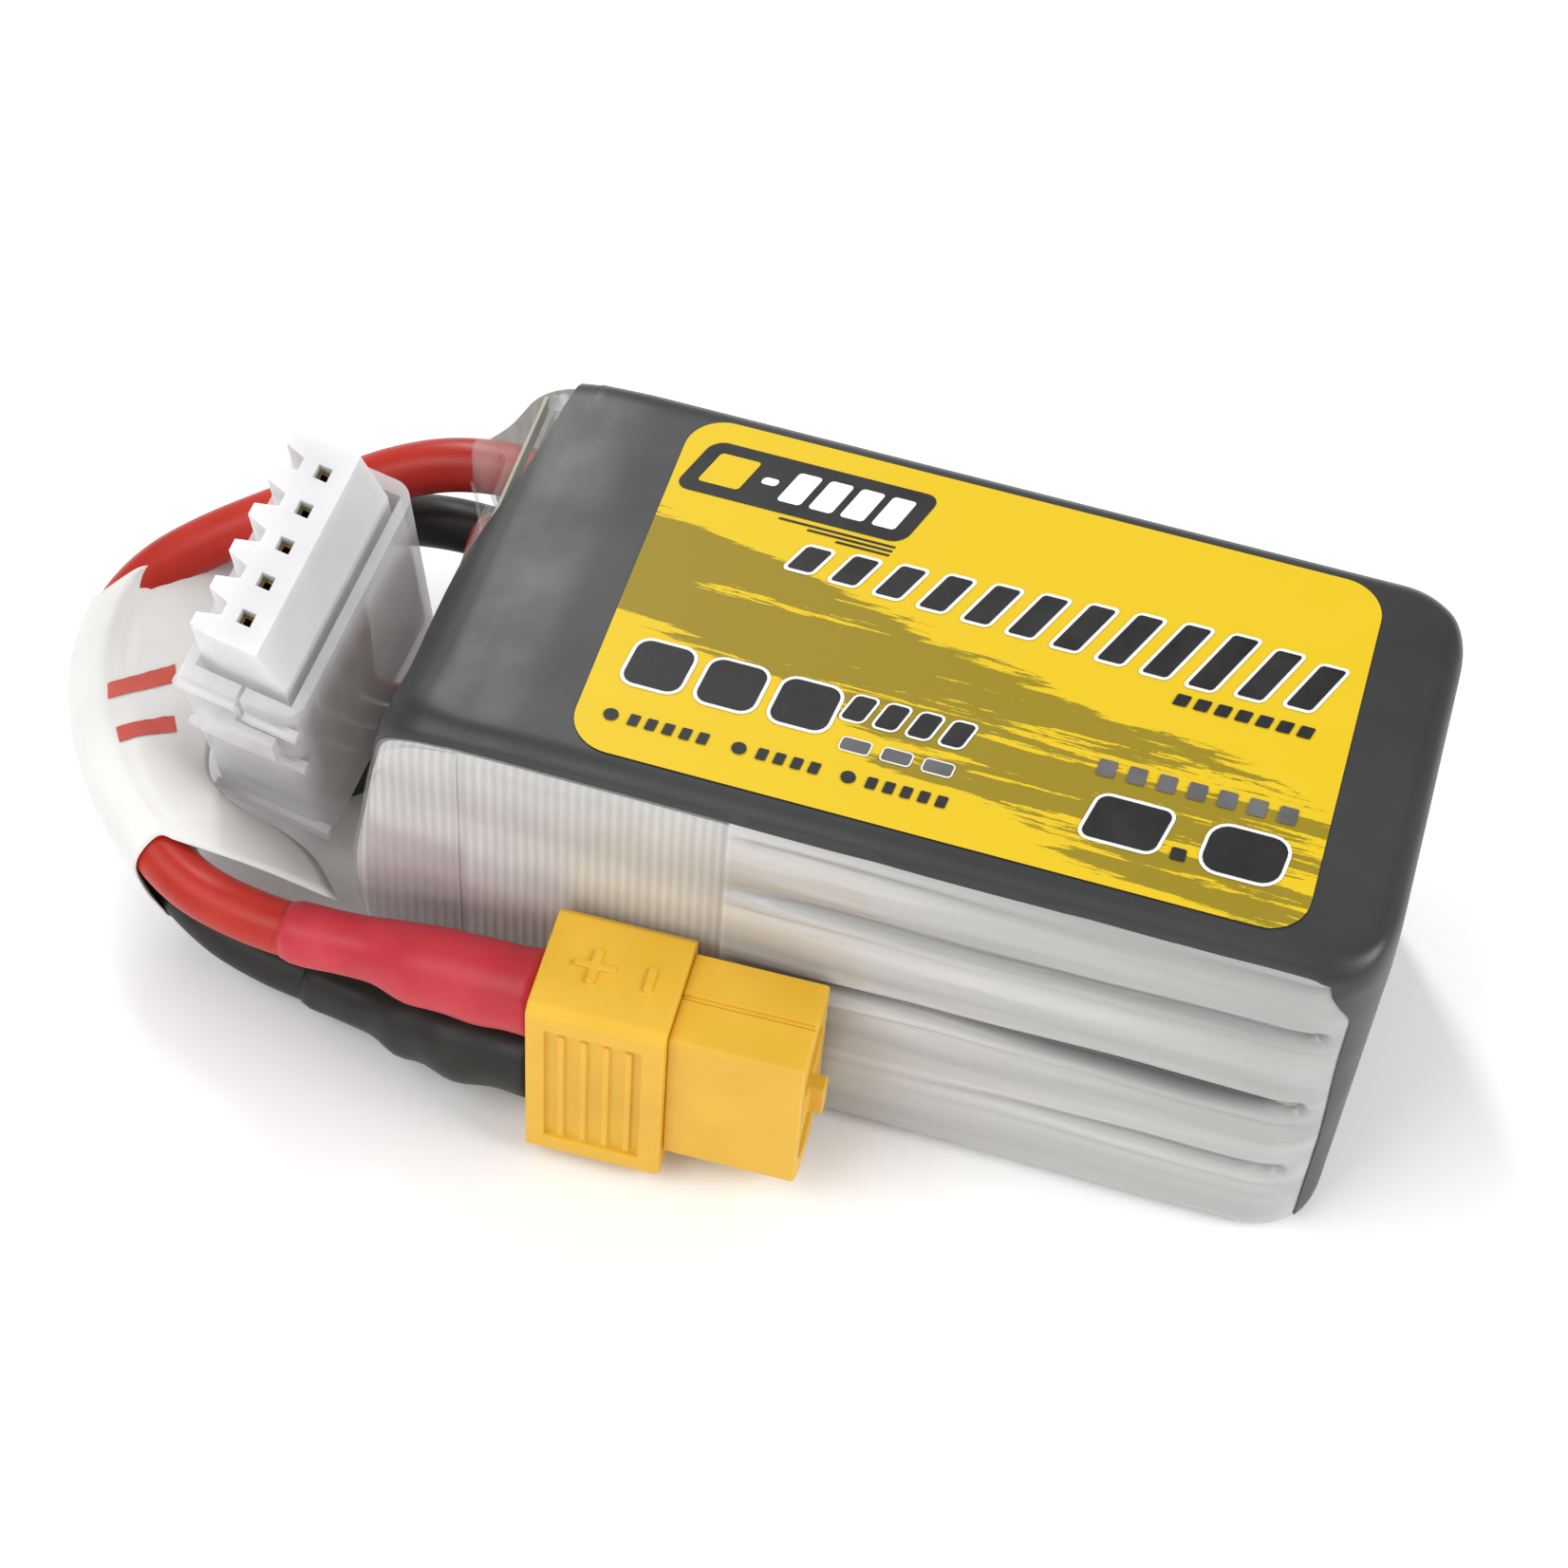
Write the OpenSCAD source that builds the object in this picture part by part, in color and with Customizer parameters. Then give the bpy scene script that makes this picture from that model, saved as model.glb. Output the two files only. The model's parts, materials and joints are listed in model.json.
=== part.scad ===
// Four-cell lithium-polymer drone battery pack lying on its wide face.
// +X runs along the pack, away from the leads. +Z is up, through the stack of cells.
// The origin is at the centre of the pack's underside.

/* [Pack] */
// Length of the wrapped pack along X
pack_l = 60; // [58:0.5:64]
// Width of the wrapped pack along Y
pack_w = 31; // [30:0.5:34]
// Height of the wrapped pack along Z
pack_h = 30; // [29.5:0.5:31]
// Radius of the long edges
edge_r = 2.2; // [1.5:0.1:3]
// Radius of the corners at the closed end, seen from above
end_r = 4.4; // [3:0.1:5]
// Wall of the clear shrink film
film_t = 0.25; // [0.2:0.05:0.3]

/* [Cells] */
// Height of one pouch cell
cell_h = 7.1; // [6.8:0.05:7.15]
// Length of one cell body, without its terrace
cell_l = 53.8; // [50:0.1:54]
// Width of one cell body
cell_w = 28.8; // [27:0.1:28.8]
// Thickness of the glue sheet between two cells
glue_t = 0.15; // [0.1:0.01:0.15]

/* [Power leads] */
// Outer diameter of a power lead
lead_d = 3.5; // [3:0.1:3.6]
// Outer diameter of the heat-shrink over a solder cup
shrink_d = 5.6; // [5:0.1:5.8]

/* [Power plug] */
// Length of the rear cap
cap_l = 8.6; // [8:0.1:9]
// Thickness of the rear cap
cap_t = 8; // [7.6:0.1:8.1]
// Height of the rear cap as it stands on its narrow side
cap_h = 16; // [15.6:0.1:16.2]
// Length of the mating body in front of the cap
nose_l = 8.4; // [7.5:0.1:9]
// Thickness of the mating body
nose_t = 6.4; // [6:0.1:6.6]
// Height of the mating body
nose_h = 14.4; // [14:0.1:14.6]
// Distance between the two poles
pole_pitch = 7.2; // [7:0.1:7.4]
// Radius of a pole's socket
socket_r = 1.75; // [1.7:0.05:1.8]

/* [Balance plug] */
// Pitch of the five balance contacts
pin_pitch = 2.5; // [2.4:0.1:2.5]
// Thickness of the balance plug
bal_t = 5.75; // [5.5:0.05:5.8]
// Width of the balance plug along its row
bal_w = 13.8; // [13:0.1:14]
// Height of the balance plug from its mating face to its wire side
bal_h = 9.8; // [9:0.1:10]
// Outer diameter of a balance wire
wire_d = 1.5; // [1.2:0.1:1.5]

/* [Clip] */
// Outer width of the clip along the plug's row
clip_w = 16.6; // [16.4:0.1:17]
// Outer thickness of the clip
clip_t = 7.8; // [7.8:0.1:8]
// Wall of the clip
clip_wall = 0.7; // [0.6:0.05:0.75]
// Gap between the clip's shell and its lid
clip_gap = 0.3; // [0.25:0.05:0.35]

/* [Hidden] */
$fn = 48;

lead_end = -pack_l / 2;
closed_end = pack_l / 2;
print_t = 0.15;         // printed wrap over the film
panel_t = 0.1;          // label panel on the wrap
film_w = pack_w - 0.2;  // the printed wrap reaches 0.1 down each side
film_h = pack_h - print_t - panel_t;
film_end = closed_end - 0.2;

// Layers at the lead end, each from its outer face
tape_x = lead_end + 0.3;
paper_x = lead_end + 0.6;
board_x = lead_end + 1.4;
board_t = 0.8;
link_x = board_x + board_t + 0.05;
strip_t = 0.2;
terrace_x = lead_end + 3.2;
cell_x = lead_end + 5.4;
cell_z0 = 0.45;
cell_pitch = cell_h + glue_t;
tab_w = 5;
tab_y = 7.5;
tape_t = 0.25;
tape_w = film_w - 2 * film_t - 0.1;
tape_l = 21.2;
tape_z0 = 2.3;
// The way out of the wraps for the leads and wires: low and high corners in Y and Z
mouth = [[0.2, 9.5], [13.6, 26.6]];
board_w = 26;
board_z = [2.2, 27.6];

// Power leads, from the board to the back of the plug
red_route = [[-28.6, 11.2, 22.8], [-31.8, 11.2, 22.8], [-35.3, 10.8, 22.2], [-38.8, 10, 20.8],
    [-42.4, 9, 18.6], [-46, 7.4, 17], [-49.5, 5.2, 15.6], [-52, 2.8, 14.6],
    [-53.4, 0, 13.7], [-53.6, -3.1, 12.8], [-52.9, -6.2, 11.9], [-51.4, -9.1, 11.1],
    [-49, -12.2, 10.5], [-46, -14.9, 10.1], [-42.4, -17, 9.8], [-38.1, -18.1, 9.9],
    [-33.8, -18.6, 10.4], [-28.8, -18.9, 11.3], [-23.4, -19.6, 12.4], [-18.6, -19.75, 12.8]];
black_route = [[-28.6, 10.6, 16.9], [-31.8, 10.6, 16.9], [-35.2, 10.9, 16.4], [-38.8, 11.3, 15],
    [-42.6, 11, 13.2], [-46.2, 9, 11.4], [-49.2, 5.6, 9.8], [-50.9, 1.4, 8.5],
    [-51.2, -3, 7.2], [-50.2, -7, 6.1], [-48.2, -10.6, 5], [-45.4, -13.4, 4],
    [-41.8, -15.3, 3.2], [-38.2, -16.3, 2.9], [-34.6, -17, 3.1], [-29.6, -18.3, 4.1],
    [-24.2, -19.4, 5.2], [-18.6, -19.75, 5.6]];

// Tag round both leads: at each station, the two routes' indexes and the flag's direction
tag_stations = [[8, 7, 30], [9, 8, 12], [10, 9, 0], [11, 10, -6], [12, 11, -10]];
flag_l = 6.4;
tag_t = 0.2;

// Power plug, standing on its narrow side against the pack's front face
plug_at = [-18.5, -19.75, 9.2];
plug_turn = [0, 0, 2];

// Balance plug and clip, upright at the lead end; their own +X faces the pack
clip_at = [-38.2, -7.7, 33.9];
clip_turn = [18, 6, -6.4];
row_x = -0.3;
rib_d = 1.4;            // how far the balance plug's ribs stand out
clip_top = -5.5;
clip_base = -28.5;
lid_base = -15;
contact_z = -8.4;       // lower end of each contact, where its wire starts
hinge_at = [-clip_t / 2 + clip_wall / 2, clip_w / 2 + 0.6];
hinge_r = 0.6;

// Balance wire shape: from the clip's base, round under it and up to the mouth
wire_turns = [[-0.1, 0.5, 3.9], [0.7, 1.1, 2], [2.6, 1.9, 1.4], [4.4, 2.6, 3.4]];
wire_exits = [[-31.7, 8.4, 20], [-31.7, 6.5, 19.2], [-31.7, 4.6, 18.4], [-31.7, 2.8, 17.6],
    [-31.7, 1, 16.8]];

function unit(v) = v / norm(v);
function turn_x(v, a) = [v[0], v[1] * cos(a) - v[2] * sin(a), v[1] * sin(a) + v[2] * cos(a)];
function turn_y(v, a) = [v[0] * cos(a) + v[2] * sin(a), v[1], -v[0] * sin(a) + v[2] * cos(a)];
function turn_z(v, a) = [v[0] * cos(a) - v[1] * sin(a), v[0] * sin(a) + v[1] * cos(a), v[2]];
function in_clip(p) =
    clip_at + turn_z(turn_y(turn_x(p, clip_turn[0]), clip_turn[1]), clip_turn[2]);
function tangent(path, i) =
    let (last = len(path) - 1)
    i == 0 ? unit(path[1] - path[0])
    : i == last ? unit(path[last] - path[last - 1])
    : unit(path[i + 1] - path[i - 1]);
function ring(centre, along, aside, r, sides) =
    let (u = unit(cross(aside, along)), v = cross(along, u))
    [for (k = [0 : sides - 1]) centre + r * (u * cos(360 * k / sides) + v * sin(360 * k / sides))];

// A round tube along a path; aside is a direction that the path never takes
module tube(path, d, aside, sides = 8) {
    last = len(path) - 1;
    points = [for (i = [0 : last]) each ring(path[i], tangent(path, i), aside, d / 2, sides)];
    walls = [for (i = [0 : last - 1], k = [0 : sides - 1])
        let (n = (k + 1) % sides)
        [i * sides + k, i * sides + n, (i + 1) * sides + n, (i + 1) * sides + k]];
    start = [for (k = [sides - 1 : -1 : 0]) k];
    end = [for (k = [0 : sides - 1]) last * sides + k];
    polyhedron(points, concat(walls, [start, end]));
}

// Rectangle with one radius at its low-x corners and another at its high-x ones
module round_rect(x0, x1, y0, y1, r0, r1) {
    translate([x0 + r0, y0]) square([x1 - x0 - r0 - r1, y1 - y0]);
    translate([x0, y0 + r0]) square([r0 + 0.01, y1 - y0 - 2 * r0]);
    translate([x1 - r1 - 0.01, y0 + r1]) square([r1 + 0.01, y1 - y0 - 2 * r1]);
    for (y = [y0 + r0, y1 - r0]) translate([x0 + r0, y]) circle(r0);
    for (y = [y0 + r1, y1 - r1]) translate([x1 - r1, y]) circle(r1);
}

// Box along X with rounded long edges, and rounded corners seen from above
module soft_box(x0, x1, w, z0, z1, edge, r0, r1) {
    intersection() {
        translate([x0, 0, 0])
            rotate([90, 0, 90])
                linear_extrude(x1 - x0) round_rect(-w / 2, w / 2, z0, z1, edge, edge);
        translate([0, 0, z0 - 1])
            linear_extrude(z1 - z0 + 2) round_rect(x0, x1, -w / 2, w / 2, r0, r1);
    }
}

module block(low, high) {
    translate(low) cube(high - low);
}

module mouth_cut(x0, x1) {
    block([x0, mouth[0][0], mouth[0][1]], [x1, mouth[1][0], mouth[1][1]]);
}

module at_plug() {
    translate(plug_at) rotate(plug_turn) children();
}

module at_clip() {
    translate(clip_at) rotate(clip_turn) children();
}

// One pouch cell with its folded side seals and the thin terrace at its lead end
module cell(i) {
    z = cell_z0 + i * cell_pitch;
    seal_t = 0.35;
    seal_h = 4.6;
    color("silver") {
        soft_box(cell_x, cell_x + cell_l, cell_w, z, z + cell_h, 1.7, 1.2, end_r - 0.6);
        for (side = [-1, 1])
            translate([cell_x + 0.8, side * (cell_w / 2 + seal_t / 2 - 0.05) - seal_t / 2, z + 1.2])
                cube([cell_l - end_r, seal_t, seal_h]);
        block([terrace_x, -cell_w / 2 + 1, z + cell_h / 2 - 0.25],
            [cell_x + 0.2, cell_w / 2 - 1, z + cell_h / 2 + 0.25]);
    }
}

module cell_glue() {
    color("ivory")
        for (i = [1 : 3])
            translate([cell_x + 4, -cell_w / 2 + 3, cell_z0 + i * cell_pitch - glue_t])
                cube([cell_l - 8, cell_w - 6, glue_t]);
}

function tab_z(i) = cell_z0 + i * cell_pitch + cell_h / 2;

// Tongue of one cell's tab, from its terrace to the board
module tab(i, side) {
    block([link_x, side * tab_y - tab_w / 2, tab_z(i) - strip_t / 2],
        [terrace_x, side * tab_y + tab_w / 2, tab_z(i) + strip_t / 2]);
}

// Series link: two neighbouring tabs folded together against the board
module tab_link(i, side) {
    color("lightgray") {
        tab(i, side);
        tab(i + 1, side);
        block([link_x, side * tab_y - tab_w / 2, tab_z(i) - strip_t / 2],
            [link_x + strip_t, side * tab_y + tab_w / 2, tab_z(i + 1) + strip_t / 2]);
    }
}

// End tab of the stack, folded against the board
module end_tab(i, side, reach) {
    color("lightgray") {
        tab(i, side);
        block([link_x, side * tab_y - tab_w / 2, min(tab_z(i), tab_z(i) + reach)],
            [link_x + strip_t, side * tab_y + tab_w / 2, max(tab_z(i), tab_z(i) + reach)]);
    }
}

module terminal_board() {
    color("darkgreen")
        block([board_x, -board_w / 2, board_z[0]], [board_x + board_t, board_w / 2, board_z[1]]);
}

// Solder on the board's outer face, beside each lead and under each wire
module board_solder() {
    color("gainsboro") {
        for (i = [0 : 4])
            translate([board_x - 0.5, -10, 4.5 + 5 * i]) rotate([0, 90, 0]) cylinder(h = 0.5, r = 1.1);
        for (z = [16.6, 22.4])
            translate([board_x - 0.5, 6.4, z]) rotate([0, 90, 0]) cylinder(h = 0.5, r = 1.3);
    }
}

module end_paper() {
    color("bisque")
        difference() {
            block([paper_x, -board_w / 2 - 0.5, board_z[0] - 0.5],
                [paper_x + 0.2, board_w / 2 + 0.5, board_z[1] + 0.5]);
            mouth_cut(paper_x - 1, paper_x + 1);
        }
}

module end_pad() {
    x = cell_x + cell_l + 0.02;
    color("dimgray") block([x, -cell_w / 2 + 4, 3], [x + 0.3, cell_w / 2 - 4, 26.5]);
}

// Belt of filament tape round the lead end and along both sides
module filament_tape() {
    color("whitesmoke")
        difference() {
            translate([0, 0, tape_z0]) linear_extrude(film_h - 2 * tape_z0)
                round_rect(tape_x, tape_x + tape_l, -tape_w / 2, tape_w / 2, 1.4, 0.01);
            linear_extrude(film_h)
                round_rect(tape_x + tape_t, tape_x + tape_l + 1, -tape_w / 2 + tape_t,
                    tape_w / 2 - tape_t, 1.15, 0.01);
            mouth_cut(tape_x - 1, tape_x + 2);
        }
}

// Clear shrink film round the whole stack, open where the leads come out
module shrink_sleeve() {
    color("lightcyan", 0.4)
        difference() {
            soft_box(lead_end, film_end, film_w, 0, film_h, edge_r, 1.7, end_r);
            soft_box(lead_end + film_t, film_end - film_t, film_w - 2 * film_t, film_t,
                film_h - film_t, edge_r - film_t, 1.45, end_r - film_t);
            mouth_cut(lead_end - 1, lead_end + 1);
        }
}

// Printed wrap: over the top and down the closed end
module label_wrap() {
    top_x = lead_end + 2.4;
    lap_z = film_h - 1.6;
    end_x = closed_end - 1.6;
    color("#444444")
        difference() {
            soft_box(top_x - 4, closed_end, pack_w, 0, film_h + print_t, edge_r, 1, end_r + 0.1);
            soft_box(lead_end - 6, film_end, film_w, -1, film_h, edge_r, 1, end_r);
            block([lead_end - 5, -pack_w, -1], [end_x, pack_w, lap_z]);
            block([lead_end - 5, -pack_w, -1], [top_x, pack_w, pack_h + 1]);
            block([lead_end, -pack_w, -1], [closed_end + 1, pack_w, 0.5]);
        }
}

module label_panel() {
    color("#f0d23c")
        translate([0, 0, pack_h - panel_t])
            linear_extrude(panel_t) round_rect(-19.5, 24.5, -13.3, 13.5, 2.6, 2.6);
}

module red_lead() {
    color("#c03a2c") tube(red_route, lead_d, [0, 0, 1]);
}

module black_lead() {
    color("#2e2d2b") tube(black_route, lead_d, [0, 0, 1]);
}

// Heat-shrink over the last stretch of a lead, swelling over the solder cup at the plug
module lead_shrink(route, colour, first, swell) {
    last = len(route) - 1;
    sides = 8;
    rows = [for (i = [first : last]) i];
    points = concat(
        [for (i = rows) each ring(route[i], tangent(route, i), [0, 0, 1],
            (i < swell ? lead_d + 0.9 : shrink_d) / 2, sides)],
        [for (i = rows) each ring(route[i], tangent(route, i), [0, 0, 1], lead_d / 2, sides)]);
    n = len(rows);
    skin = [for (i = [0 : n - 2], k = [0 : sides - 1])
        let (m = (k + 1) % sides)
        [i * sides + k, i * sides + m, (i + 1) * sides + m, (i + 1) * sides + k]];
    core = [for (i = [n : 2 * n - 2], k = [0 : sides - 1])
        let (m = (k + 1) % sides)
        [(i + 1) * sides + k, (i + 1) * sides + m, i * sides + m, i * sides + k]];
    ends = [for (k = [0 : sides - 1])
        let (m = (k + 1) % sides)
        each [[n * sides + k, n * sides + m, m, k],
            [(n - 1) * sides + k, (n - 1) * sides + m, (2 * n - 1) * sides + m,
                (2 * n - 1) * sides + k]]];
    color(colour) polyhedron(points, concat(skin, core, ends));
}

// Rear cap of the power plug: a plain block with chamfered long edges and a ribbed panel
module plug_cap() {
    chamfer = 0.6;
    cross_x = 3.2;
    cross_l = 2.6;
    color("#efc24c")
        at_plug() difference() {
            union() {
                rotate([90, 0, 90]) linear_extrude(cap_l)
                    polygon([for (s = [[1, 1], [-1, 1], [-1, -1], [1, -1]], e = [0, 1])
                        let (first = (s[0] * s[1] > 0) == (e == 0))
                        [s[0] * (cap_t / 2 - (first ? 0 : chamfer)),
                            s[1] * (cap_h / 2 - (first ? chamfer : 0))]]);
                // polarity marks: a cross over the positive pole and a short bar in front of it
                translate([cross_x - 0.25, -cross_l / 2, cap_h / 2]) cube([0.5, cross_l, 0.25]);
                translate([cross_x - cross_l / 2, -0.25, cap_h / 2]) cube([cross_l, 0.5, 0.25]);
                translate([cap_l - 2.2, -0.9, cap_h / 2]) cube([0.5, 1.8, 0.2]);
            }
            translate([1.2, -cap_t / 2 - 1, -cap_h / 2 + 2]) cube([cap_l - 2.6, 1.35, cap_h - 4]);
            for (z = [-1, 1] * pole_pitch / 2)
                translate([-1, 0, z]) rotate([0, 90, 0]) cylinder(h = cap_l + 2, r = 2.35);
        }
    color("#efc24c")
        at_plug() for (i = [0 : 3])
            translate([2 + 1.4 * i, -cap_t / 2 + 0.05, -cap_h / 2 + 2.4]) cube([0.45, 0.35, cap_h - 4.8]);
}

// Mating body of the power plug, narrower on its negative side so that it fits one way round
module plug_body() {
    slope = 1.6;
    t = nose_t / 2;
    h = nose_h / 2;
    color("#e6ba58")
        at_plug() difference() {
            union() {
                translate([cap_l, 0, 0]) rotate([90, 0, 90]) linear_extrude(nose_l)
                    polygon([[-t, h], [t, h], [t, -h + slope], [t - slope, -h],
                        [-t + slope, -h], [-t, -h + slope]]);
                translate([cap_l + nose_l, -0.6, -3.2]) cube([0.9, 1.2, 6.4]);
            }
            for (z = [-1, 1] * pole_pitch / 2)
                translate([cap_l - 1, 0, z]) rotate([0, 90, 0]) cylinder(h = nose_l + 2, r = 2.25);
            translate([cap_l - 1, -0.15, h - 0.2]) cube([nose_l + 2, 0.3, 1]);
        }
}

// Gold-plated pole: a solder cup at the back and a round socket in front
module plug_contact(side) {
    color("gold")
        at_plug() translate([0, 0, side * pole_pitch / 2]) rotate([0, 90, 0]) difference() {
            translate([0, 0, 0.2]) cylinder(h = cap_l + nose_l - 0.6, r = 2.25);
            translate([0, 0, cap_l + nose_l - 7.9]) cylinder(h = 9, r = socket_r);
            translate([0, 0, -1]) cylinder(h = 4, r = 1.9);
        }
}

// Paper flag folded round both leads; each station is an open strip given some thickness
function tag_line(i, j, turn) =
    let (r = red_route[i], b = black_route[j], out = -[cos(turn), sin(turn), 0],
        up = [0, 0, 1], g = lead_d / 2 + 0.15)
    [r - out * flag_l - up * 1.2, r - out * flag_l / 2 + up * 1.1, r + up * g,
        r + (out + up) * g * 0.72, r + out * g, (r + b) / 2 + out * (g + 0.5),
        b + out * g - up * 0.6, b + out * g * 0.6 - up * g * 0.8, b - up * g,
        b - out * g - up * 0.4, b - out * g + up * 1.2];
function strip_normal(line, i, along) =
    let (n = len(line) - 1, d = unit(line[min(i + 1, n)] - line[max(i - 1, 0)]))
    unit(cross(d, along));
module lead_tag() {
    rings = [for (s = tag_stations)
        let (line = tag_line(s[0], s[1], s[2]), along = tangent(red_route, s[0]), m = len(line) - 1)
        concat(line, [for (k = [m : -1 : 0]) line[k] - strip_normal(line, k, along) * tag_t])];
    sides = len(rings[0]);
    last = len(rings) - 1;
    walls = [for (i = [0 : last - 1], k = [0 : sides - 1])
        let (n = (k + 1) % sides)
        each [[i * sides + k, (i + 1) * sides + k, i * sides + n],
            [i * sides + n, (i + 1) * sides + k, (i + 1) * sides + n]]];
    half = sides / 2;
    caps = [for (k = [0 : half - 2])
        let (a = k, b = k + 1, c = sides - 2 - k, d = sides - 1 - k, e = last * sides)
        each [[a, b, d], [b, c, d], [e + a, e + d, e + b], [e + b, e + d, e + c]]];
    color("#e6e4e0") polyhedron([for (r = rings) each r], concat(walls, caps));
}

// One balance wire, from its contact down through the clip and round to the pack
function wire_route(i) =
    let (y = (2 - i) * pin_pitch, top = in_clip([row_x, y, contact_z]),
        mid = in_clip([row_x, y, -16]), base = in_clip([row_x, y * 0.92, clip_base]),
        out = wire_exits[i])
    concat([top, mid, base], [for (t = wire_turns) [base[0] + t[0], base[1] + t[1], t[2]]],
        [[out[0] - 0.3 * (5 - i), out[1] - 0.8, 12], out, [board_x, out[1], out[2]]]);
module balance_wire(i) {
    color(i == 0 ? "#c03a2c" : "#2e2d2b") tube(wire_route(i), wire_d, [0, 1, 0]);
}

// Balance plug: a housing with one square socket for each contact, a sloping face towards
// the pack, and ribs between the sockets on its other side
module balance_plug() {
    x = -bal_t / 2 - 0.25;
    flank = x + rib_d;
    brow = bal_t / 2 - 1.6;
    foot = bal_t / 2 - 0.25;
    y = bal_w / 2;
    color("#e9e9eb")
        at_clip() difference() {
            union() {
                rotate([90, 0, 0]) linear_extrude(bal_w, center = true)
                    polygon([[flank, -bal_h], [foot, -bal_h], [foot, -5], [brow, 0], [flank, 0]]);
                for (i = [-3 : 2]) {
                    mid = (i + 0.5) * pin_pitch;
                    low = max(-y, mid - 0.85);
                    high = min(y, mid + 0.85);
                    translate([0, 0, -bal_h]) linear_extrude(bal_h)
                        polygon([[flank + 0.1, low], [flank + 0.1, high],
                            [x, min(y, mid + 0.4)], [x, max(-y, mid - 0.4)]]);
                }
            }
            for (i = [-2 : 2]) {
                translate([row_x - 0.45, i * pin_pitch - 0.45, -2]) cube([0.9, 0.9, 3]);
                translate([row_x - 1, i * pin_pitch - 1, -bal_h - 1]) cube([2, 2, bal_h]);
            }
        }
}

module balance_contacts() {
    color("gold")
        at_clip() for (i = [-2 : 2]) difference() {
            block([row_x - 0.85, i * pin_pitch - 0.85, contact_z],
                [row_x + 0.85, i * pin_pitch + 0.85, -1.3]);
            block([row_x - 0.35, i * pin_pitch - 0.35, contact_z + 2],
                [row_x + 0.35, i * pin_pitch + 0.35, 0]);
        }
}

module knuckle(z0, z1) {
    translate([hinge_at[0], hinge_at[1], z0]) cylinder(h = z1 - z0, r = hinge_r);
}

// Fixed half of the clip: the wall beside the pack, the back end and the wire guard below
module clip_shell() {
    x = clip_t / 2;
    y = clip_w / 2;
    split = lid_base - clip_gap;
    color("#d4d2d6", 0.7)
        at_clip() difference() {
            union() {
                intersection() {
                    union() {
                        block([x - clip_wall, -y, clip_base], [x, y, clip_top]);
                        block([-x + clip_wall + clip_gap, y - 0.9, clip_base], [x, y, clip_top]);
                        block([0.2, -y, split], [x, -y + 0.9, clip_top]);
                        block([-x, -y, clip_base], [x, -y + 0.9, split]);
                        block([-x, -y, clip_base], [-x + clip_wall, y, split]);
                        block([-x, y - 0.9, clip_base], [x, y, split]);
                        block([-x, -y, clip_base], [x, y, clip_base + 1]);
                    }
                    translate([0, 0, clip_base]) linear_extrude(clip_top - clip_base)
                        round_rect(-x, x, -y, y, 0.3, 1.4);
                }
                block([-x - 0.3, -y - 0.4, clip_base], [x + 0.1, -y + 0.2, clip_base + 1.6]);
                block([x - clip_wall - 0.9, -6, -bal_h - 0.9], [x - clip_wall + 0.1, 6, -bal_h]);
                block([0.6, -y - 0.12, -12.6], [1.5, -y + 0.1, -8.6]);
                for (z = [-7.6, -13.6]) block([0.4, -y - 0.5, z - 0.4], [x, -y + 0.1, z + 0.4]);
                for (z = [-8.4, -13.4]) {
                    knuckle(z - 0.7, z + 0.7);
                    block([hinge_at[0], y - 0.3, z - 0.7], [-2.4, y + 1.1, z + 0.7]);
                }
            }
            for (i = [-2 : 2])
                translate([row_x, i * pin_pitch * 0.92, clip_base - 1]) cylinder(h = 3, r = 0.9);
        }
}

// Swinging half of the clip, with the tongue that snaps over the shell's rib
module clip_lid() {
    x = clip_t / 2;
    y = clip_w / 2;
    color("#d4d2d6", 0.7)
        at_clip() {
            block([-x, -y, lid_base], [-x + clip_wall, y - 0.3, clip_top]);
            block([-x, -y, lid_base], [-0.1, -y + 0.9, clip_top]);
            block([-2.8, -y - 0.4, -12.2], [-0.4, -y + 0.1, -9]);
            block([-2.8, -y - 1, -12.2], [2.4, -y - 0.35, -9]);
            for (z = [-6.6, -14.2])
                block([-x - 0.3, -y - 0.4, z - 0.4], [-0.1, -y + 0.1, z + 0.4]);
            knuckle(-12.3, -9.5);
            block([-x, y - 0.4, -12.3], [-x + clip_wall, hinge_at[1], -9.5]);
        }
}

cell(0);  // cell_1
cell(1);  // cell_2
cell(2);  // cell_3
cell(3);  // cell_4
cell_glue();
end_tab(3, 1, -4.5);  // tab_positive
end_tab(0, 1, 4.5);  // tab_negative
tab_link(0, -1);  // tab_link_1
tab_link(1, 1);  // tab_link_2
tab_link(2, -1);  // tab_link_3
terminal_board();
board_solder();
end_paper();
end_pad();
filament_tape();
shrink_sleeve();
label_wrap();
label_panel();
red_lead();
black_lead();
lead_shrink(red_route, "#d04b55", 16, 18);  // red_lead_shrink
lead_shrink(black_route, "#32332f", 14, 16);  // black_lead_shrink
plug_cap();
plug_body();
plug_contact(1);  // plug_contact_positive
plug_contact(-1);  // plug_contact_negative
lead_tag();
balance_wire(0);  // balance_wire_1
balance_wire(1);  // balance_wire_2
balance_wire(2);  // balance_wire_3
balance_wire(3);  // balance_wire_4
balance_wire(4);  // balance_wire_5
balance_plug();
balance_contacts();
clip_shell();
clip_lid();
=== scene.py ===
import json
import math

import bpy
import numpy as np
from mathutils import Matrix, Vector, noise


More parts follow.
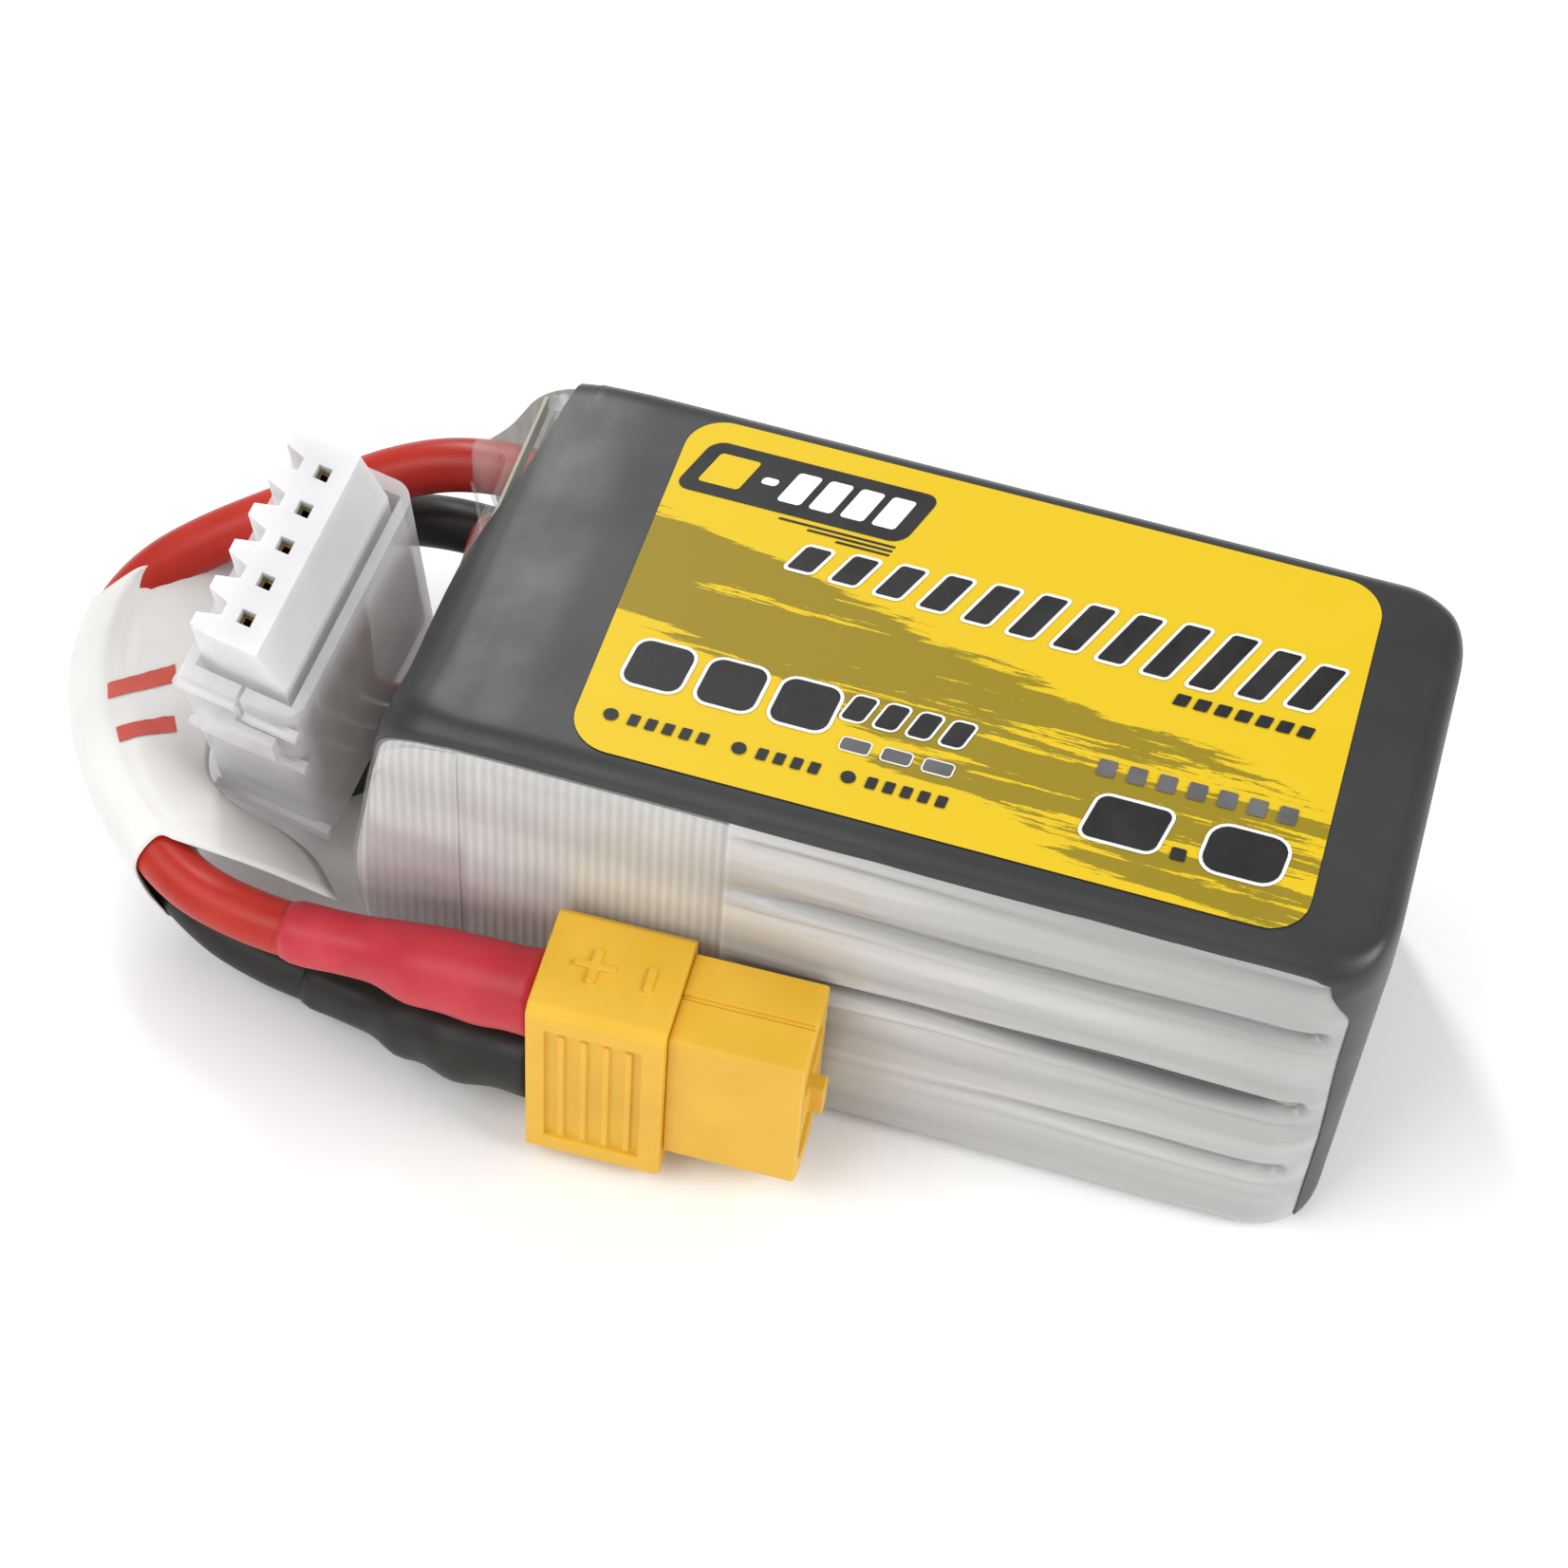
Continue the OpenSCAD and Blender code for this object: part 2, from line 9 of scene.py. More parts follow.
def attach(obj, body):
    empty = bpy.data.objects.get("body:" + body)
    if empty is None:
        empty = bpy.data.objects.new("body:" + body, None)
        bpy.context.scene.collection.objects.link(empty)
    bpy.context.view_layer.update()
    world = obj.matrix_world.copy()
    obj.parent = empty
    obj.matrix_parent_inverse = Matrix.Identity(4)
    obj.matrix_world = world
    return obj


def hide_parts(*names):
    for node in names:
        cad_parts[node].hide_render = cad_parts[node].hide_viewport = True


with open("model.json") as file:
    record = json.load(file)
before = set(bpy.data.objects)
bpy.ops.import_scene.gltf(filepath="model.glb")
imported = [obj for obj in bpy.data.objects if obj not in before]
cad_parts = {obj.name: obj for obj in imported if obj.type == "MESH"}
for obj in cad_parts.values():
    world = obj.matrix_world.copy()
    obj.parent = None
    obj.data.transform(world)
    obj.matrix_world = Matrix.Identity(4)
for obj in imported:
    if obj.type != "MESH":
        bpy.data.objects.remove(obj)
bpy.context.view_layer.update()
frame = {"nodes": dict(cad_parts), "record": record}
MM = 0.001
scene = bpy.context.scene
# the default view washes out the label's yellow
scene.view_settings.view_transform = "Standard"


# ---- small helpers -------------------------------------------------------------------------
def smooth(a, b, x):
    """0 below a, 1 above b, eased between."""
    t = min(1.0, max(0.0, (x - a) / (b - a)))
    return t * t * (3 - 2 * t)


def lump(t, centre, width):
    """A smooth bump of height 1 at centre."""
    return math.exp(-((t - centre) / width) ** 2)


def wob(x, y, z, size, seed=0.0):
    """Smooth noise from -1 to 1 at a place in mm; size is its grain in mm."""
    return noise.noise(Vector((x / size + seed, y / size - seed, z / size + 2 * seed)))


def spline(a, b, c, d, t):
    """A place between b and c, t of the way along the smooth line through all four."""
    return 0.5 * (2 * b + (c - a) * t + (2 * a - 5 * b + 4 * c - d) * t * t
                  + (3 * b - a - 3 * c + d) * t ** 3)


def curve_points(route, steps):
    """A smooth line through the route's points, in mm."""
    p = [np.array(q, float) for q in route]
    p = [2 * p[0] - p[1]] + p + [2 * p[-1] - p[-2]]
    out = []
    for i in range(1, len(p) - 2):
        out += [spline(*p[i - 1:i + 3], k / steps) for k in range(steps)]
    out.append(p[-2])
    return np.array(out)


def mesh_object(name, points, faces, mat, shade=True):
    """A mesh that rides with the pack, from points in mm."""
    mesh = bpy.data.meshes.new(name)
    mesh.from_pydata([tuple(float(c) * MM for c in p) for p in points], [], faces)
    mesh.validate()
    mesh.update()
    if shade:
        mesh.polygons.foreach_set("use_smooth", [True] * len(mesh.polygons))
    obj = bpy.data.objects.new(name, mesh)
    scene.collection.objects.link(obj)
    mesh.materials.append(mat)
    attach(obj, "pack")
    return obj


def grid_faces(rows, cols, wrap=False, flip=False):
    """Faces of a grid of points; wrap joins its last column to its first."""
    out = []
    for i in range(rows - 1):
        for j in range(cols if wrap else cols - 1):
            k = (j + 1) % cols
            face = (i * cols + j, i * cols + k, (i + 1) * cols + k, (i + 1) * cols + j)
            out.append(face[::-1] if flip else face)
    return out


def across_line(line):
    """Two directions across a line at each of its points, turning as little as they can."""
    along = np.gradient(line, axis=0)
    along /= np.linalg.norm(along, axis=1)[:, None]
    u = np.cross(along[0], [0, 0, 1.0])
    out = []
    for t in along:
        u = u - t * np.dot(u, t)
        u = u / np.linalg.norm(u)
        out.append((u, np.cross(t, u)))
    return out


def sweep(name, line, radius, mat, sides):
    """A closed round skin along a line; radius(i, angle) is in mm."""
    points = []
    for i, (c, (u, v)) in enumerate(zip(line, across_line(line))):
        for k in range(sides):
            a = 2 * math.pi * k / sides
            points.append(c + radius(i, a) * (u * math.cos(a) + v * math.sin(a)))
    faces = grid_faces(len(line), sides, wrap=True)
    faces.append(tuple(range(sides))[::-1])
    faces.append(tuple((len(line) - 1) * sides + k for k in range(sides)))
    return mesh_object(name, points, faces, mat)


# ---- materials -----------------------------------------------------------------------------
class Look:
    """A principled material with helpers to drive its sockets from textures."""

    def __init__(self, name, colour, rough, metal=0.0, **sockets):
        self.mat = bpy.data.materials.new(name)
        self.mat.use_nodes = True
        self.tree = self.mat.node_tree
        self.bsdf = self.tree.nodes["Principled BSDF"]
        self.set("Base Color", (*colour, 1))
        self.set("Roughness", rough)
        self.set("Metallic", metal)
        for key, value in sockets.items():
            self.set(key.replace("_", " "), value)
        self.where = self.tree.nodes.new("ShaderNodeTexCoord").outputs["Object"]

    def set(self, socket, value):
        self.bsdf.inputs[socket].default_value = value

    def link(self, out, socket):
        self.tree.links.new(out, self.bsdf.inputs[socket])

    def node(self, kind, inputs=(), **props):
        """A new node; each of its inputs takes a value or another node's output."""
        n = self.tree.nodes.new("ShaderNode" + kind)
        for key, value in props.items():
            setattr(n, key, value)
        for key, value in dict(inputs).items():
            if isinstance(value, bpy.types.NodeSocket):
                self.tree.links.new(value, n.inputs[key])
            else:
                n.inputs[key].default_value = value
        return n

    def place(self, scale=(1, 1, 1), turn=(0, 0, 0)):
        """The object's own place, stretched and turned."""
        return self.node("Mapping", {0: self.where, "Rotation": turn, "Scale": scale}).outputs[0]

    def noise(self, size_mm, detail=3.0, scale=(1, 1, 1), turn=(0, 0, 0), rough=0.55):
        return self.node("TexNoise", {"Vector": self.place(scale, turn), "Scale": 1000 / size_mm,
                                      "Detail": detail, "Roughness": rough}).outputs["Fac"]

    def ramp(self, fac, stops):
        """A colour from stops of (fac, colour)."""
        n = self.node("ValToRGB", {"Fac": fac})
        ramp = n.color_ramp
        while len(ramp.elements) < len(stops):
            ramp.elements.new(0.5)
        for e, (at, colour) in zip(ramp.elements, stops):
            e.position = at
            e.color = (*colour, 1)
        return n.outputs["Color"]

    def spread(self, fac, low, high):
        """A value that goes from low to high as fac goes from 0.3 to 0.7."""
        return self.node("MapRange", {0: fac, 1: 0.3, 2: 0.7, 3: low, 4: high}).outputs[0]

    def math(self, op, a, b):
        return self.node("Math", {0: a, 1: b}, operation=op).outputs[0]

    def mix(self, fac, a, b):
        """Colour a where fac is 0, colour b where it is 1."""
        a, b = (v if isinstance(v, bpy.types.NodeSocket) else (*v, 1) for v in (a, b))
        return self.node("Mix", {0: fac, 6: a, 7: b}, data_type="RGBA").outputs[2]

    def axes(self):
        s = self.node("SeparateXYZ", {0: self.where})
        return s.outputs[0], s.outputs[1], s.outputs[2]

    def band(self, value, low, high, soft):
        """1 where value is between low and high, in mm, and 0 outside."""
        up = self.node("MapRange", {0: value, 1: (low - soft) * MM, 2: (low + soft) * MM,
                                    3: 0.0, 4: 1.0}, interpolation_type="SMOOTHSTEP").outputs[0]
        down = self.node("MapRange", {0: value, 1: (high - soft) * MM, 2: (high + soft) * MM,
                                      3: 1.0, 4: 0.0}, interpolation_type="SMOOTHSTEP").outputs[0]
        return self.math("MULTIPLY", up, down)

    def bump(self, height, strength=0.3, depth_mm=0.1):
        n = self.node("Bump", {"Height": height, "Strength": strength, "Distance": depth_mm * MM})
        self.link(n.outputs[0], "Normal")

    def vary(self, size_mm, colours, rough, bump=0.15, depth_mm=0.05):
        """Mottled colour, roughness and a fine grain from one noise."""
        fac = self.noise(size_mm)
        self.link(self.ramp(fac, [(0.3, colours[0]), (0.7, colours[1])]), "Base Color")
        self.link(self.spread(fac, *rough), "Roughness")
        self.bump(self.noise(size_mm * 0.35, 2.0), bump, depth_mm)
        return self


def foil_look():
    """Pouch foil, its creases drawn out along the cell."""
    look = Look("pouch_foil", (0.52, 0.51, 0.50), 0.42, 0.35)
    crease = look.noise(9, 4, (0.25, 1, 1.4))
    look.link(look.ramp(crease, [(0.3, (0.40, 0.39, 0.38)), (0.7, (0.60, 0.59, 0.575))]), "Base Color")
    look.bump(look.noise(2.4, 3, (0.3, 1, 1)), 0.35, 0.12)
    return look


def film_look():
    """Film streaked along the pack, with painted shade over the seams between the cells and in the crease
    under its upper edge, and clearest over the tape.
    """
    look = Look("shrink_sleeve", (0.78, 0.775, 0.76), 0.16, 0.0, Alpha=0.62, IOR=1.5)
    x, _, z = look.axes()
    streak = look.noise(7, 4, (0.10, 1, 1.5))
    fine = look.noise(1.3, 3, (0.12, 1, 1))
    base = look.ramp(streak, [(0.36, (0.44, 0.435, 0.42)), (0.5, (0.59, 0.58, 0.565)),
                              (0.62, (0.76, 0.75, 0.735))])
    # duller toward the closed end and the underside
    dull = look.math("MAXIMUM", look.node("MapRange", {0: x, 1: 6 * MM, 2: 24 * MM}).outputs[0],
                     look.node("MapRange", {0: z, 1: 11 * MM, 2: 5 * MM}).outputs[0])
    base = look.mix(look.math("MULTIPLY", dull, 0.5), base, (0.42, 0.415, 0.405))
    # painted shade: darker where the seams between the cells and the crease under the upper edge lie
    painted_seam_shade = look.node("Attribute", attribute_name="painted_seam_shade").outputs["Fac"]
    look.link(look.mix(painted_seam_shade, base, (0.05, 0.05, 0.05)), "Base Color")
    look.link(look.spread(streak, 0.08, 0.24), "Roughness")
    look.bump(look.math("ADD", streak, look.math("MULTIPLY", fine, 0.25)), 0.45, 0.30)
    taped = look.band(x, -60, -8.8, 0.1)
    look.link(look.math("SUBTRACT", 0.80, look.math("MULTIPLY", taped, 0.58)), "Alpha")
    return look


def tape_look():
    """Ribbed tape, stained at the leads, with a pink painted reflection of the red lead behind the stain
    and a warm painted reflection of the yellow plug toward its far edge.
    """
    look = Look("filament_tape", (0.8, 0.79, 0.77), 0.3, 0.0, Alpha=0.86)
    x, _, z = look.axes()
    ribs = look.node("TexWave", {"Vector": look.place(), "Scale": 490, "Distortion": 0.5,
                                 "Detail": 1.0, "Detail Scale": 2.0}, bands_direction="X").outputs["Fac"]
    stain = look.math("MULTIPLY", look.band(x, -31.5, -25.1, 0.25), look.band(z, 7.5, 19.5, 1.4))
    # painted reflections of the red lead and of the yellow plug, which lie just in front of the tape
    painted_red_lead_reflection = look.math("MULTIPLY", look.band(x, -25, -17.5, 1.2), look.band(z, 7, 15.5, 2.0))
    painted_plug_reflection = look.math("MULTIPLY", look.band(x, -18.5, -4, 1.5), look.band(z, 2, 21, 3.0))
    between_ribs = look.math("SUBTRACT", 1.0, ribs)
    base = look.ramp(look.noise(5, 3, (1, 1, 0.4)), [(0.3, (0.64, 0.63, 0.60)), (0.7, (0.84, 0.83, 0.81))])
    for where, strength, colour in ((stain, 0.75, (0.50, 0.43, 0.44)), (painted_red_lead_reflection, 0.6, (0.80, 0.68, 0.66)),
                                    (painted_plug_reflection, 0.35, (0.93, 0.83, 0.66)),
                                    (between_ribs, 0.42, (0.40, 0.39, 0.38))):
        base = look.mix(look.math("MULTIPLY", where, strength), base, colour)
    look.link(base, "Base Color")
    look.bump(ribs, 0.6, 0.12)
    return look


def wrap_look():
    """Dark printed film, slightly uneven."""
    look = Look("label_wrap", (0.026, 0.026, 0.027), 0.4, Specular_IOR_Level=0.45)
    cloud = look.noise(14, 3, (0.5, 1, 1))
    look.link(look.ramp(cloud, [(0.3, (0.018, 0.018, 0.019)), (0.7, (0.032, 0.032, 0.033))]), "Base Color")
    look.link(look.spread(look.noise(5, 3), 0.36, 0.46), "Roughness")
    look.bump(look.noise(6, 3, (0.4, 1, 1)), 0.12, 0.12)
    return look


YELLOW = (0.66, 0.455, 0.012)
OLIVE = (0.265, 0.195, 0.012)
STREAK_TURN = 0.23


def panel_look():
    """The label's yellow with olive brush streaks: a falling band torn by noise stretched along it."""
    look = Look("label_panel", YELLOW, 0.45, Specular_IOR_Level=0.2)
    x, y, _ = look.axes()
    fall = look.math("ADD", y, look.math("MULTIPLY", look.math("ADD", x, 20 * MM), 0.235))
    torn = look.noise(1.6, 6, (0.07, 1, 1), (0, 0, STREAK_TURN), 0.72)
    wide = look.noise(9, 2, (0.3, 1, 1), (0, 0, STREAK_TURN))
    edge = look.math("MULTIPLY", look.math("SUBTRACT", look.math("ADD", torn, wide), 1.0), 9 * MM)
    body = look.band(look.math("ADD", fall, edge), -2.6, 6.2, 0.12)
    # fewer spots toward the right
    least = look.node("MapRange", {0: x, 1: -20 * MM, 2: 25 * MM, 3: 0.36, 4: 0.47}).outputs[0]
    spots = look.math("GREATER_THAN", torn, least)
    look.link(look.mix(look.math("MULTIPLY", body, spots), YELLOW, OLIVE), "Base Color")
    look.link(look.spread(look.noise(4, 3), 0.33, 0.44), "Roughness")
    look.bump(look.noise(0.5, 2), 0.04, 0.02)
    return look


# name, darkest and lightest colour, least and most roughness, grain in mm
PLAIN_LOOKS = (
    ("ink_black", (0.008, 0.008, 0.009), (0.018, 0.018, 0.019), (0.36, 0.46), 3),
    ("ink_white", (0.72, 0.72, 0.71), (0.84, 0.84, 0.83), (0.36, 0.46), 3),
    ("ink_grey", (0.07, 0.07, 0.07), (0.13, 0.13, 0.13), (0.30, 0.42), 4),
    ("red_silicone", (0.38, 0.014, 0.006), (0.48, 0.026, 0.012), (0.34, 0.46), 5),
    ("black_silicone", (0.010, 0.010, 0.009), (0.020, 0.020, 0.017), (0.36, 0.50), 5),
    ("red_lead_shrink", (0.46, 0.022, 0.036), (0.56, 0.042, 0.058), (0.36, 0.50), 4),
    ("black_lead_shrink", (0.013, 0.013, 0.011), (0.024, 0.024, 0.020), (0.38, 0.52), 4),
    ("plug_nylon", (0.70, 0.395, 0.026), (0.78, 0.46, 0.042), (0.34, 0.48), 6),
    ("lead_tag", (0.72, 0.705, 0.68), (0.79, 0.78, 0.755), (0.48, 0.62), 7),
    ("tag_print", (0.50, 0.07, 0.05), (0.60, 0.10, 0.07), (0.5, 0.6), 3),
    ("balance_plug", (0.64, 0.64, 0.655), (0.71, 0.71, 0.73), (0.30, 0.42), 5),
    ("terminal_board", (0.03, 0.10, 0.05), (0.05, 0.16, 0.08), (0.35, 0.5), 2),
    ("end_paper", (0.52, 0.47, 0.36), (0.62, 0.57, 0.45), (0.7, 0.85), 2),
    ("end_pad", (0.02, 0.02, 0.02), (0.04, 0.04, 0.04), (0.8, 0.95), 1),
    ("cell_glue", (0.70, 0.68, 0.62), (0.78, 0.76, 0.70), (0.5, 0.65), 3),
)
LOW_SHINE = ("ink", "red", "black", "plug")
METAL_LOOKS = (
    ("tab_metal", (0.55, 0.55, 0.56), (0.70, 0.70, 0.71), (0.25, 0.45)),
    ("gold_plate", (0.75, 0.50, 0.16), (0.88, 0.64, 0.26), (0.16, 0.32)),
)


def make_materials():
    """Every material by its name."""
    looks = {"pouch_foil": foil_look(), "shrink_sleeve": film_look(), "filament_tape": tape_look(),
             "label_wrap": wrap_look(), "label_panel": panel_look()}
    for name, dark, light, rough, size in PLAIN_LOOKS:
        base = tuple((a + b) / 2 for a, b in zip(dark, light))
        looks[name] = Look(name, base, rough[0]).vary(size, (dark, light), rough)
        if name.startswith(LOW_SHINE):
            looks[name].set("Specular IOR Level", 0.3)
    looks["lead_tag"].bump(looks["lead_tag"].noise(0.7, 3), 0.10, 0.04)
    for name, dark, light, rough in METAL_LOOKS:
        looks[name] = Look(name, light, rough[0], 1.0).vary(2, (dark, light), rough, 0.1, 0.03)
    clip = Look("clip_plastic", (0.72, 0.71, 0.73), 0.34, Alpha=0.48)
    clip.vary(6, ((0.74, 0.73, 0.755), (0.86, 0.85, 0.875)), (0.32, 0.46), 0.12, 0.05)
    looks["clip_plastic"] = clip
    for name in ("clip_plastic", "balance_plug"):
        looks[name].set("Subsurface Weight", 0.4)
        looks[name].set("Subsurface Radius", (1, 1, 1))
        looks[name].set("Subsurface Scale", 2.5 * MM)
    return {name: look.mat for name, look in looks.items()}


MATS = make_materials()


# ---- camera --------------------------------------------------------------------------------
# fitted to the photo: where the camera stands, in mm, and which way its right and its back point
CAMERA_AT = (19.67, -135.36, 200.99)
CAMERA_RIGHT = (0.9591, 0.2779, 0.0539)
CAMERA_BACK = (0.1227, -0.5799, 0.8054)
LENS = 84.4


def add_camera():
    data = bpy.data.cameras.new("camera")
    data.lens = LENS
    data.sensor_width = 36
    cam = bpy.data.objects.new("camera", data)
    scene.collection.objects.link(cam)
    right = Vector(CAMERA_RIGHT).normalized()
    back = Vector(CAMERA_BACK)
    back = (back - right * back.dot(right)).normalized()
    up = back.cross(right)
    turn = Matrix((right, up, back)).transposed().to_4x4()
    cam.matrix_world = Matrix.Translation(Vector(CAMERA_AT) * MM) @ turn
    scene.camera = cam


add_camera()

# ---- cords: the CAD's own routes, in mm ----------------------------------------------------
RED = [(-28.6, 11.2, 22.8), (-31.8, 11.2, 22.8), (-35.3, 10.8, 22.2), (-38.8, 10, 20.8),
       (-42.4, 9, 18.6), (-46, 7.4, 17), (-49.5, 5.2, 15.6), (-52, 2.8, 14.6),
       (-53.4, 0, 13.7), (-53.6, -3.1, 12.8), (-52.9, -6.2, 11.9), (-51.4, -9.1, 11.1),
       (-49, -12.2, 10.5), (-46, -14.9, 10.1), (-42.4, -17, 9.8), (-38.1, -18.1, 9.9),
       (-33.8, -18.6, 10.4), (-28.8, -18.9, 11.3), (-23.4, -19.6, 12.4), (-18.6, -19.75, 12.8)]
BLACK = [(-28.6, 10.6, 16.9), (-31.8, 10.6, 16.9), (-35.2, 10.9, 16.4), (-38.8, 11.3, 15),
         (-42.6, 11, 13.2), (-46.2, 9, 11.4), (-49.2, 5.6, 9.8), (-50.9, 1.4, 8.5),
         (-51.2, -3, 7.2), (-50.2, -7, 6.1), (-48.2, -10.6, 5), (-45.4, -13.4, 4),
         (-41.8, -15.3, 3.2), (-38.2, -16.3, 2.9), (-34.6, -17, 3.1), (-29.6, -18.3, 4.1),
         (-24.2, -19.4, 5.2), (-18.6, -19.75, 5.6)]
LEAD_D = 3.5
WIRE_D = 1.5
# the clip: the distance between its wires, the middle of its plug's face and the way it leans
PITCH = 2.5
CLIP_AT = Vector((-38.2, -7.7, 33.9))
CLIP_TURN = (Matrix.Rotation(math.radians(-6.4), 3, "Z") @ Matrix.Rotation(math.radians(6), 3, "Y")
             @ Matrix.Rotation(math.radians(18), 3, "X"))
WIRE_EXITS = [(-31.7, 8.4, 20), (-31.7, 6.5, 19.2), (-31.7, 4.6, 18.4), (-31.7, 2.8, 17.6),
              (-31.7, 1, 16.8)]
# the wires' turn under the clip: x and y from where they leave it, and z
WIRE_TURNS = ((-0.1, 0.5, 3.9), (0.7, 1.1, 2), (2.6, 1.9, 1.4), (4.4, 2.6, 3.4))


def in_clip(x, y, z):
    """A place given in the clip's own directions, from the middle of its plug's face."""
    return CLIP_AT + CLIP_TURN @ Vector((x, y, z))


def wire_route(i):
    """Wire i from its contact down through the clip, under it and up into the pack's mouth."""
    y = (2 - i) * PITCH
    foot = in_clip(-0.3, y * 0.92, -28.5)
    out = WIRE_EXITS[i]
    return ([tuple(in_clip(-0.3, y, -8.4)), tuple(in_clip(-0.3, y, -16)), tuple(foot)]
            + [(foot[0] + t[0], foot[1] + t[1], t[2]) for t in WIRE_TURNS]
            + [(out[0] - 0.3 * (5 - i), out[1] - 0.8, 12), out, (-28.6, out[1], out[2])])


def curve_object(name, line, diameter, mat):
    """A round cord along a line in mm, as a Blender curve that rides with the pack."""
    data = bpy.data.curves.new(name, "CURVE")
    data.dimensions = "3D"
    data.bevel_depth = diameter / 2 * MM
    data.bevel_resolution = 7
    data.use_fill_caps = True
    path = data.splines.new("POLY")
    path.points.add(len(line) - 1)
    for point, p in zip(path.points, line):
        point.co = (p[0] * MM, p[1] * MM, p[2] * MM, 1)
    data.materials.append(mat)
    obj = bpy.data.objects.new(name, data)
    scene.collection.objects.link(obj)
    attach(obj, "pack")
    return obj


LEAD_STEPS = 8
WIRE_STEPS = 6
RED_LINE = curve_points(RED, LEAD_STEPS)
BLACK_LINE = curve_points(BLACK, LEAD_STEPS)


# where each lead's shrink begins, as a route point, and its lumps: place, width and height in mm
SHRINKS = (("red", RED_LINE, 15.7, ((0.52, 0.10, 0.35), (0.80, 0.10, 0.18))),
           ("black", BLACK_LINE, 14.0, ((0.46, 0.08, 0.42), (0.70, 0.10, 0.38))))
# its radius on the bare lead, how much wider it is over the cup and at the plug, and how far its
# first edge is drawn in, in mm
SHRINK_R = 1.98
SHRINK_SWELL = 0.62
SHRINK_END_SWELL = 0.16
SHRINK_LIP = 0.12


def add_shrinks():
    """Heat-shrink over the last stretch of each lead, lumpy over the soldered cup."""
    out = []
    for colour, line, first, lumps in SHRINKS:
        part = line[int(first * LEAD_STEPS):]
        n = len(part) - 1

        def radius(i, a):
            t = i / n
            r = SHRINK_R + SHRINK_SWELL * smooth(0.25, 0.75, t) + SHRINK_END_SWELL * smooth(0.85, 1.0, t)
            for centre, width, height in lumps:
                r += height * lump(t, centre, width) * (0.55 + 0.45 * math.sin(a + 1.1))
            return r + 0.07 * wob(part[i][0], a * 1.5, 0, 2.2, 3.0) - (SHRINK_LIP if i == 0 else 0)

        skin = sweep(f"{colour}_shrink", part, radius, MATS[f"{colour}_lead_shrink"], 36)
        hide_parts(f"{colour}_lead_shrink")
        out.append(skin)
    return out


def add_cords():
    """Both power leads with their shrinks, and the five balance wires."""
    red = curve_object("red_wire", RED_LINE, LEAD_D, MATS["red_silicone"])
    black = curve_object("black_wire", BLACK_LINE, LEAD_D, MATS["black_silicone"])
    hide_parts("red_lead")
    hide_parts("black_lead")
    shrinks = add_shrinks()
    for i in range(5):
        line = curve_points(wire_route(i)[::-1], WIRE_STEPS)
        wire = curve_object(f"thin_wire_{i + 1}", line, WIRE_D,
                            MATS["black_silicone" if i else "red_silicone"])
        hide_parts(f"balance_wire_{i + 1}")


add_cords()


# ---- the pack's skin -----------------------------------------------------------------------
# points on each side of a ring round the pack, and on each of its corners
COUNTS = {"front": 112, "top": 34, "back": 60, "under": 12}
ARC = 7


def ring_points(y0, y1, z0, z1, r):
    """Points round a rounded rectangle: up the front, over the top, down the back, under."""
    out = []

    def side(n, a, b):
        for k in range(n):
            t = k / n
            out.append((a[0] + (b[0] - a[0]) * t, a[1] + (b[1] - a[1]) * t))

    def arc(cy, cz, start):
        for k in range(ARC):
            a = math.radians(start - 90 * k / ARC)
            out.append((cy + r * math.cos(a), cz + r * math.sin(a)))

    side(COUNTS["front"], (y0, z0 + r), (y0, z1 - r))
    arc(y0 + r, z1 - r, 180)
    side(COUNTS["top"], (y0 + r, z1), (y1 - r, z1))
    arc(y1 - r, z1 - r, 90)
    side(COUNTS["back"], (y1, z1 - r), (y1, z0 + r))
    arc(y1 - r, z0 + r, 0)
    side(COUNTS["under"], (y1 - r, z0), (y0 + r, z0))
    arc(y0 + r, z0 + r, -90)
    return np.array(out)


N_RING = sum(COUNTS.values()) + 4 * ARC
TOP_START = COUNTS["front"]
TOP_END = COUNTS["front"] + COUNTS["top"] + 2 * ARC

# Loops at the lead end, from the rim back onto the pack: y0, y1, z0, z1, corner radius, x
LOOPS = [(-11.6, 12.8, 8.0, 20.6, 3.4, -31.5),
         (-13.4, 13.6, 5.2, 23.2, 4.0, -31.5),
         (-14.5, 14.4, 2.6, 26.2, 4.0, -31.1),
         (-15.15, 15.05, 0.8, 28.5, 3.6, -30.2),
         (-15.38, 15.35, 0.15, 29.35, 2.8, -28.4),
         (-15.4, 15.4, 0.02, 29.6, 2.3, -26.0)]
# what each of those loops adds: the bulge of the taped front, the film drawn out and up round the red
# lead, and how much further in the upper part lies between its corners
SWELL = (1.0, 1.35, 1.5, 1.5, 0.6, 0.0)
DRAWN_OUT = (2.6, 2.3, 1.5, 0.6, 0.1, 0.0)
DRAWN_UP = (3.5, 1.7, 0.2, 0, 0, 0)
SET_IN = (0.5, 0.5, 0.5, 0.5, 0.4, 0)
# the straight part, and the closed end with its corner and edge radius
STRAIGHT_FROM = -26.0
SIDE_Y = 15.4
TOP_Z = 29.75
END_X = 29.8
END_R = 4.4
EDGE_R = 1.3
LONG = END_X - END_R - STRAIGHT_FROM
MIDDLE = np.array([0, 0, 15.0])


def lead_end_loop(k):
    """Loop k of the lead end, with the bulges that the tape and the red lead give the film."""
    y0, y1, z0, z1, r, x = LOOPS[k]
    out = []
    for y, z in ring_points(y0, y1, z0, z1, r):
        lift = lump(y, 11.5, 3.4) * lump(z, 21.5, 6.0)
        swell = SWELL[k] * smooth(-8, -14, y) * lump(z, 12.5, 7.5)
        inward = SET_IN[k] * smooth(-15, -8, y) * smooth(13, 8, y) * smooth(14, 24, z)
        out.append((x - swell - DRAWN_OUT[k] * lift + inward, y,
                    z + DRAWN_UP[k] * lift * smooth(14, 20, z)))
    return np.array(out)


LEAD_LOOPS = [lead_end_loop(k) for k in range(len(LOOPS))]


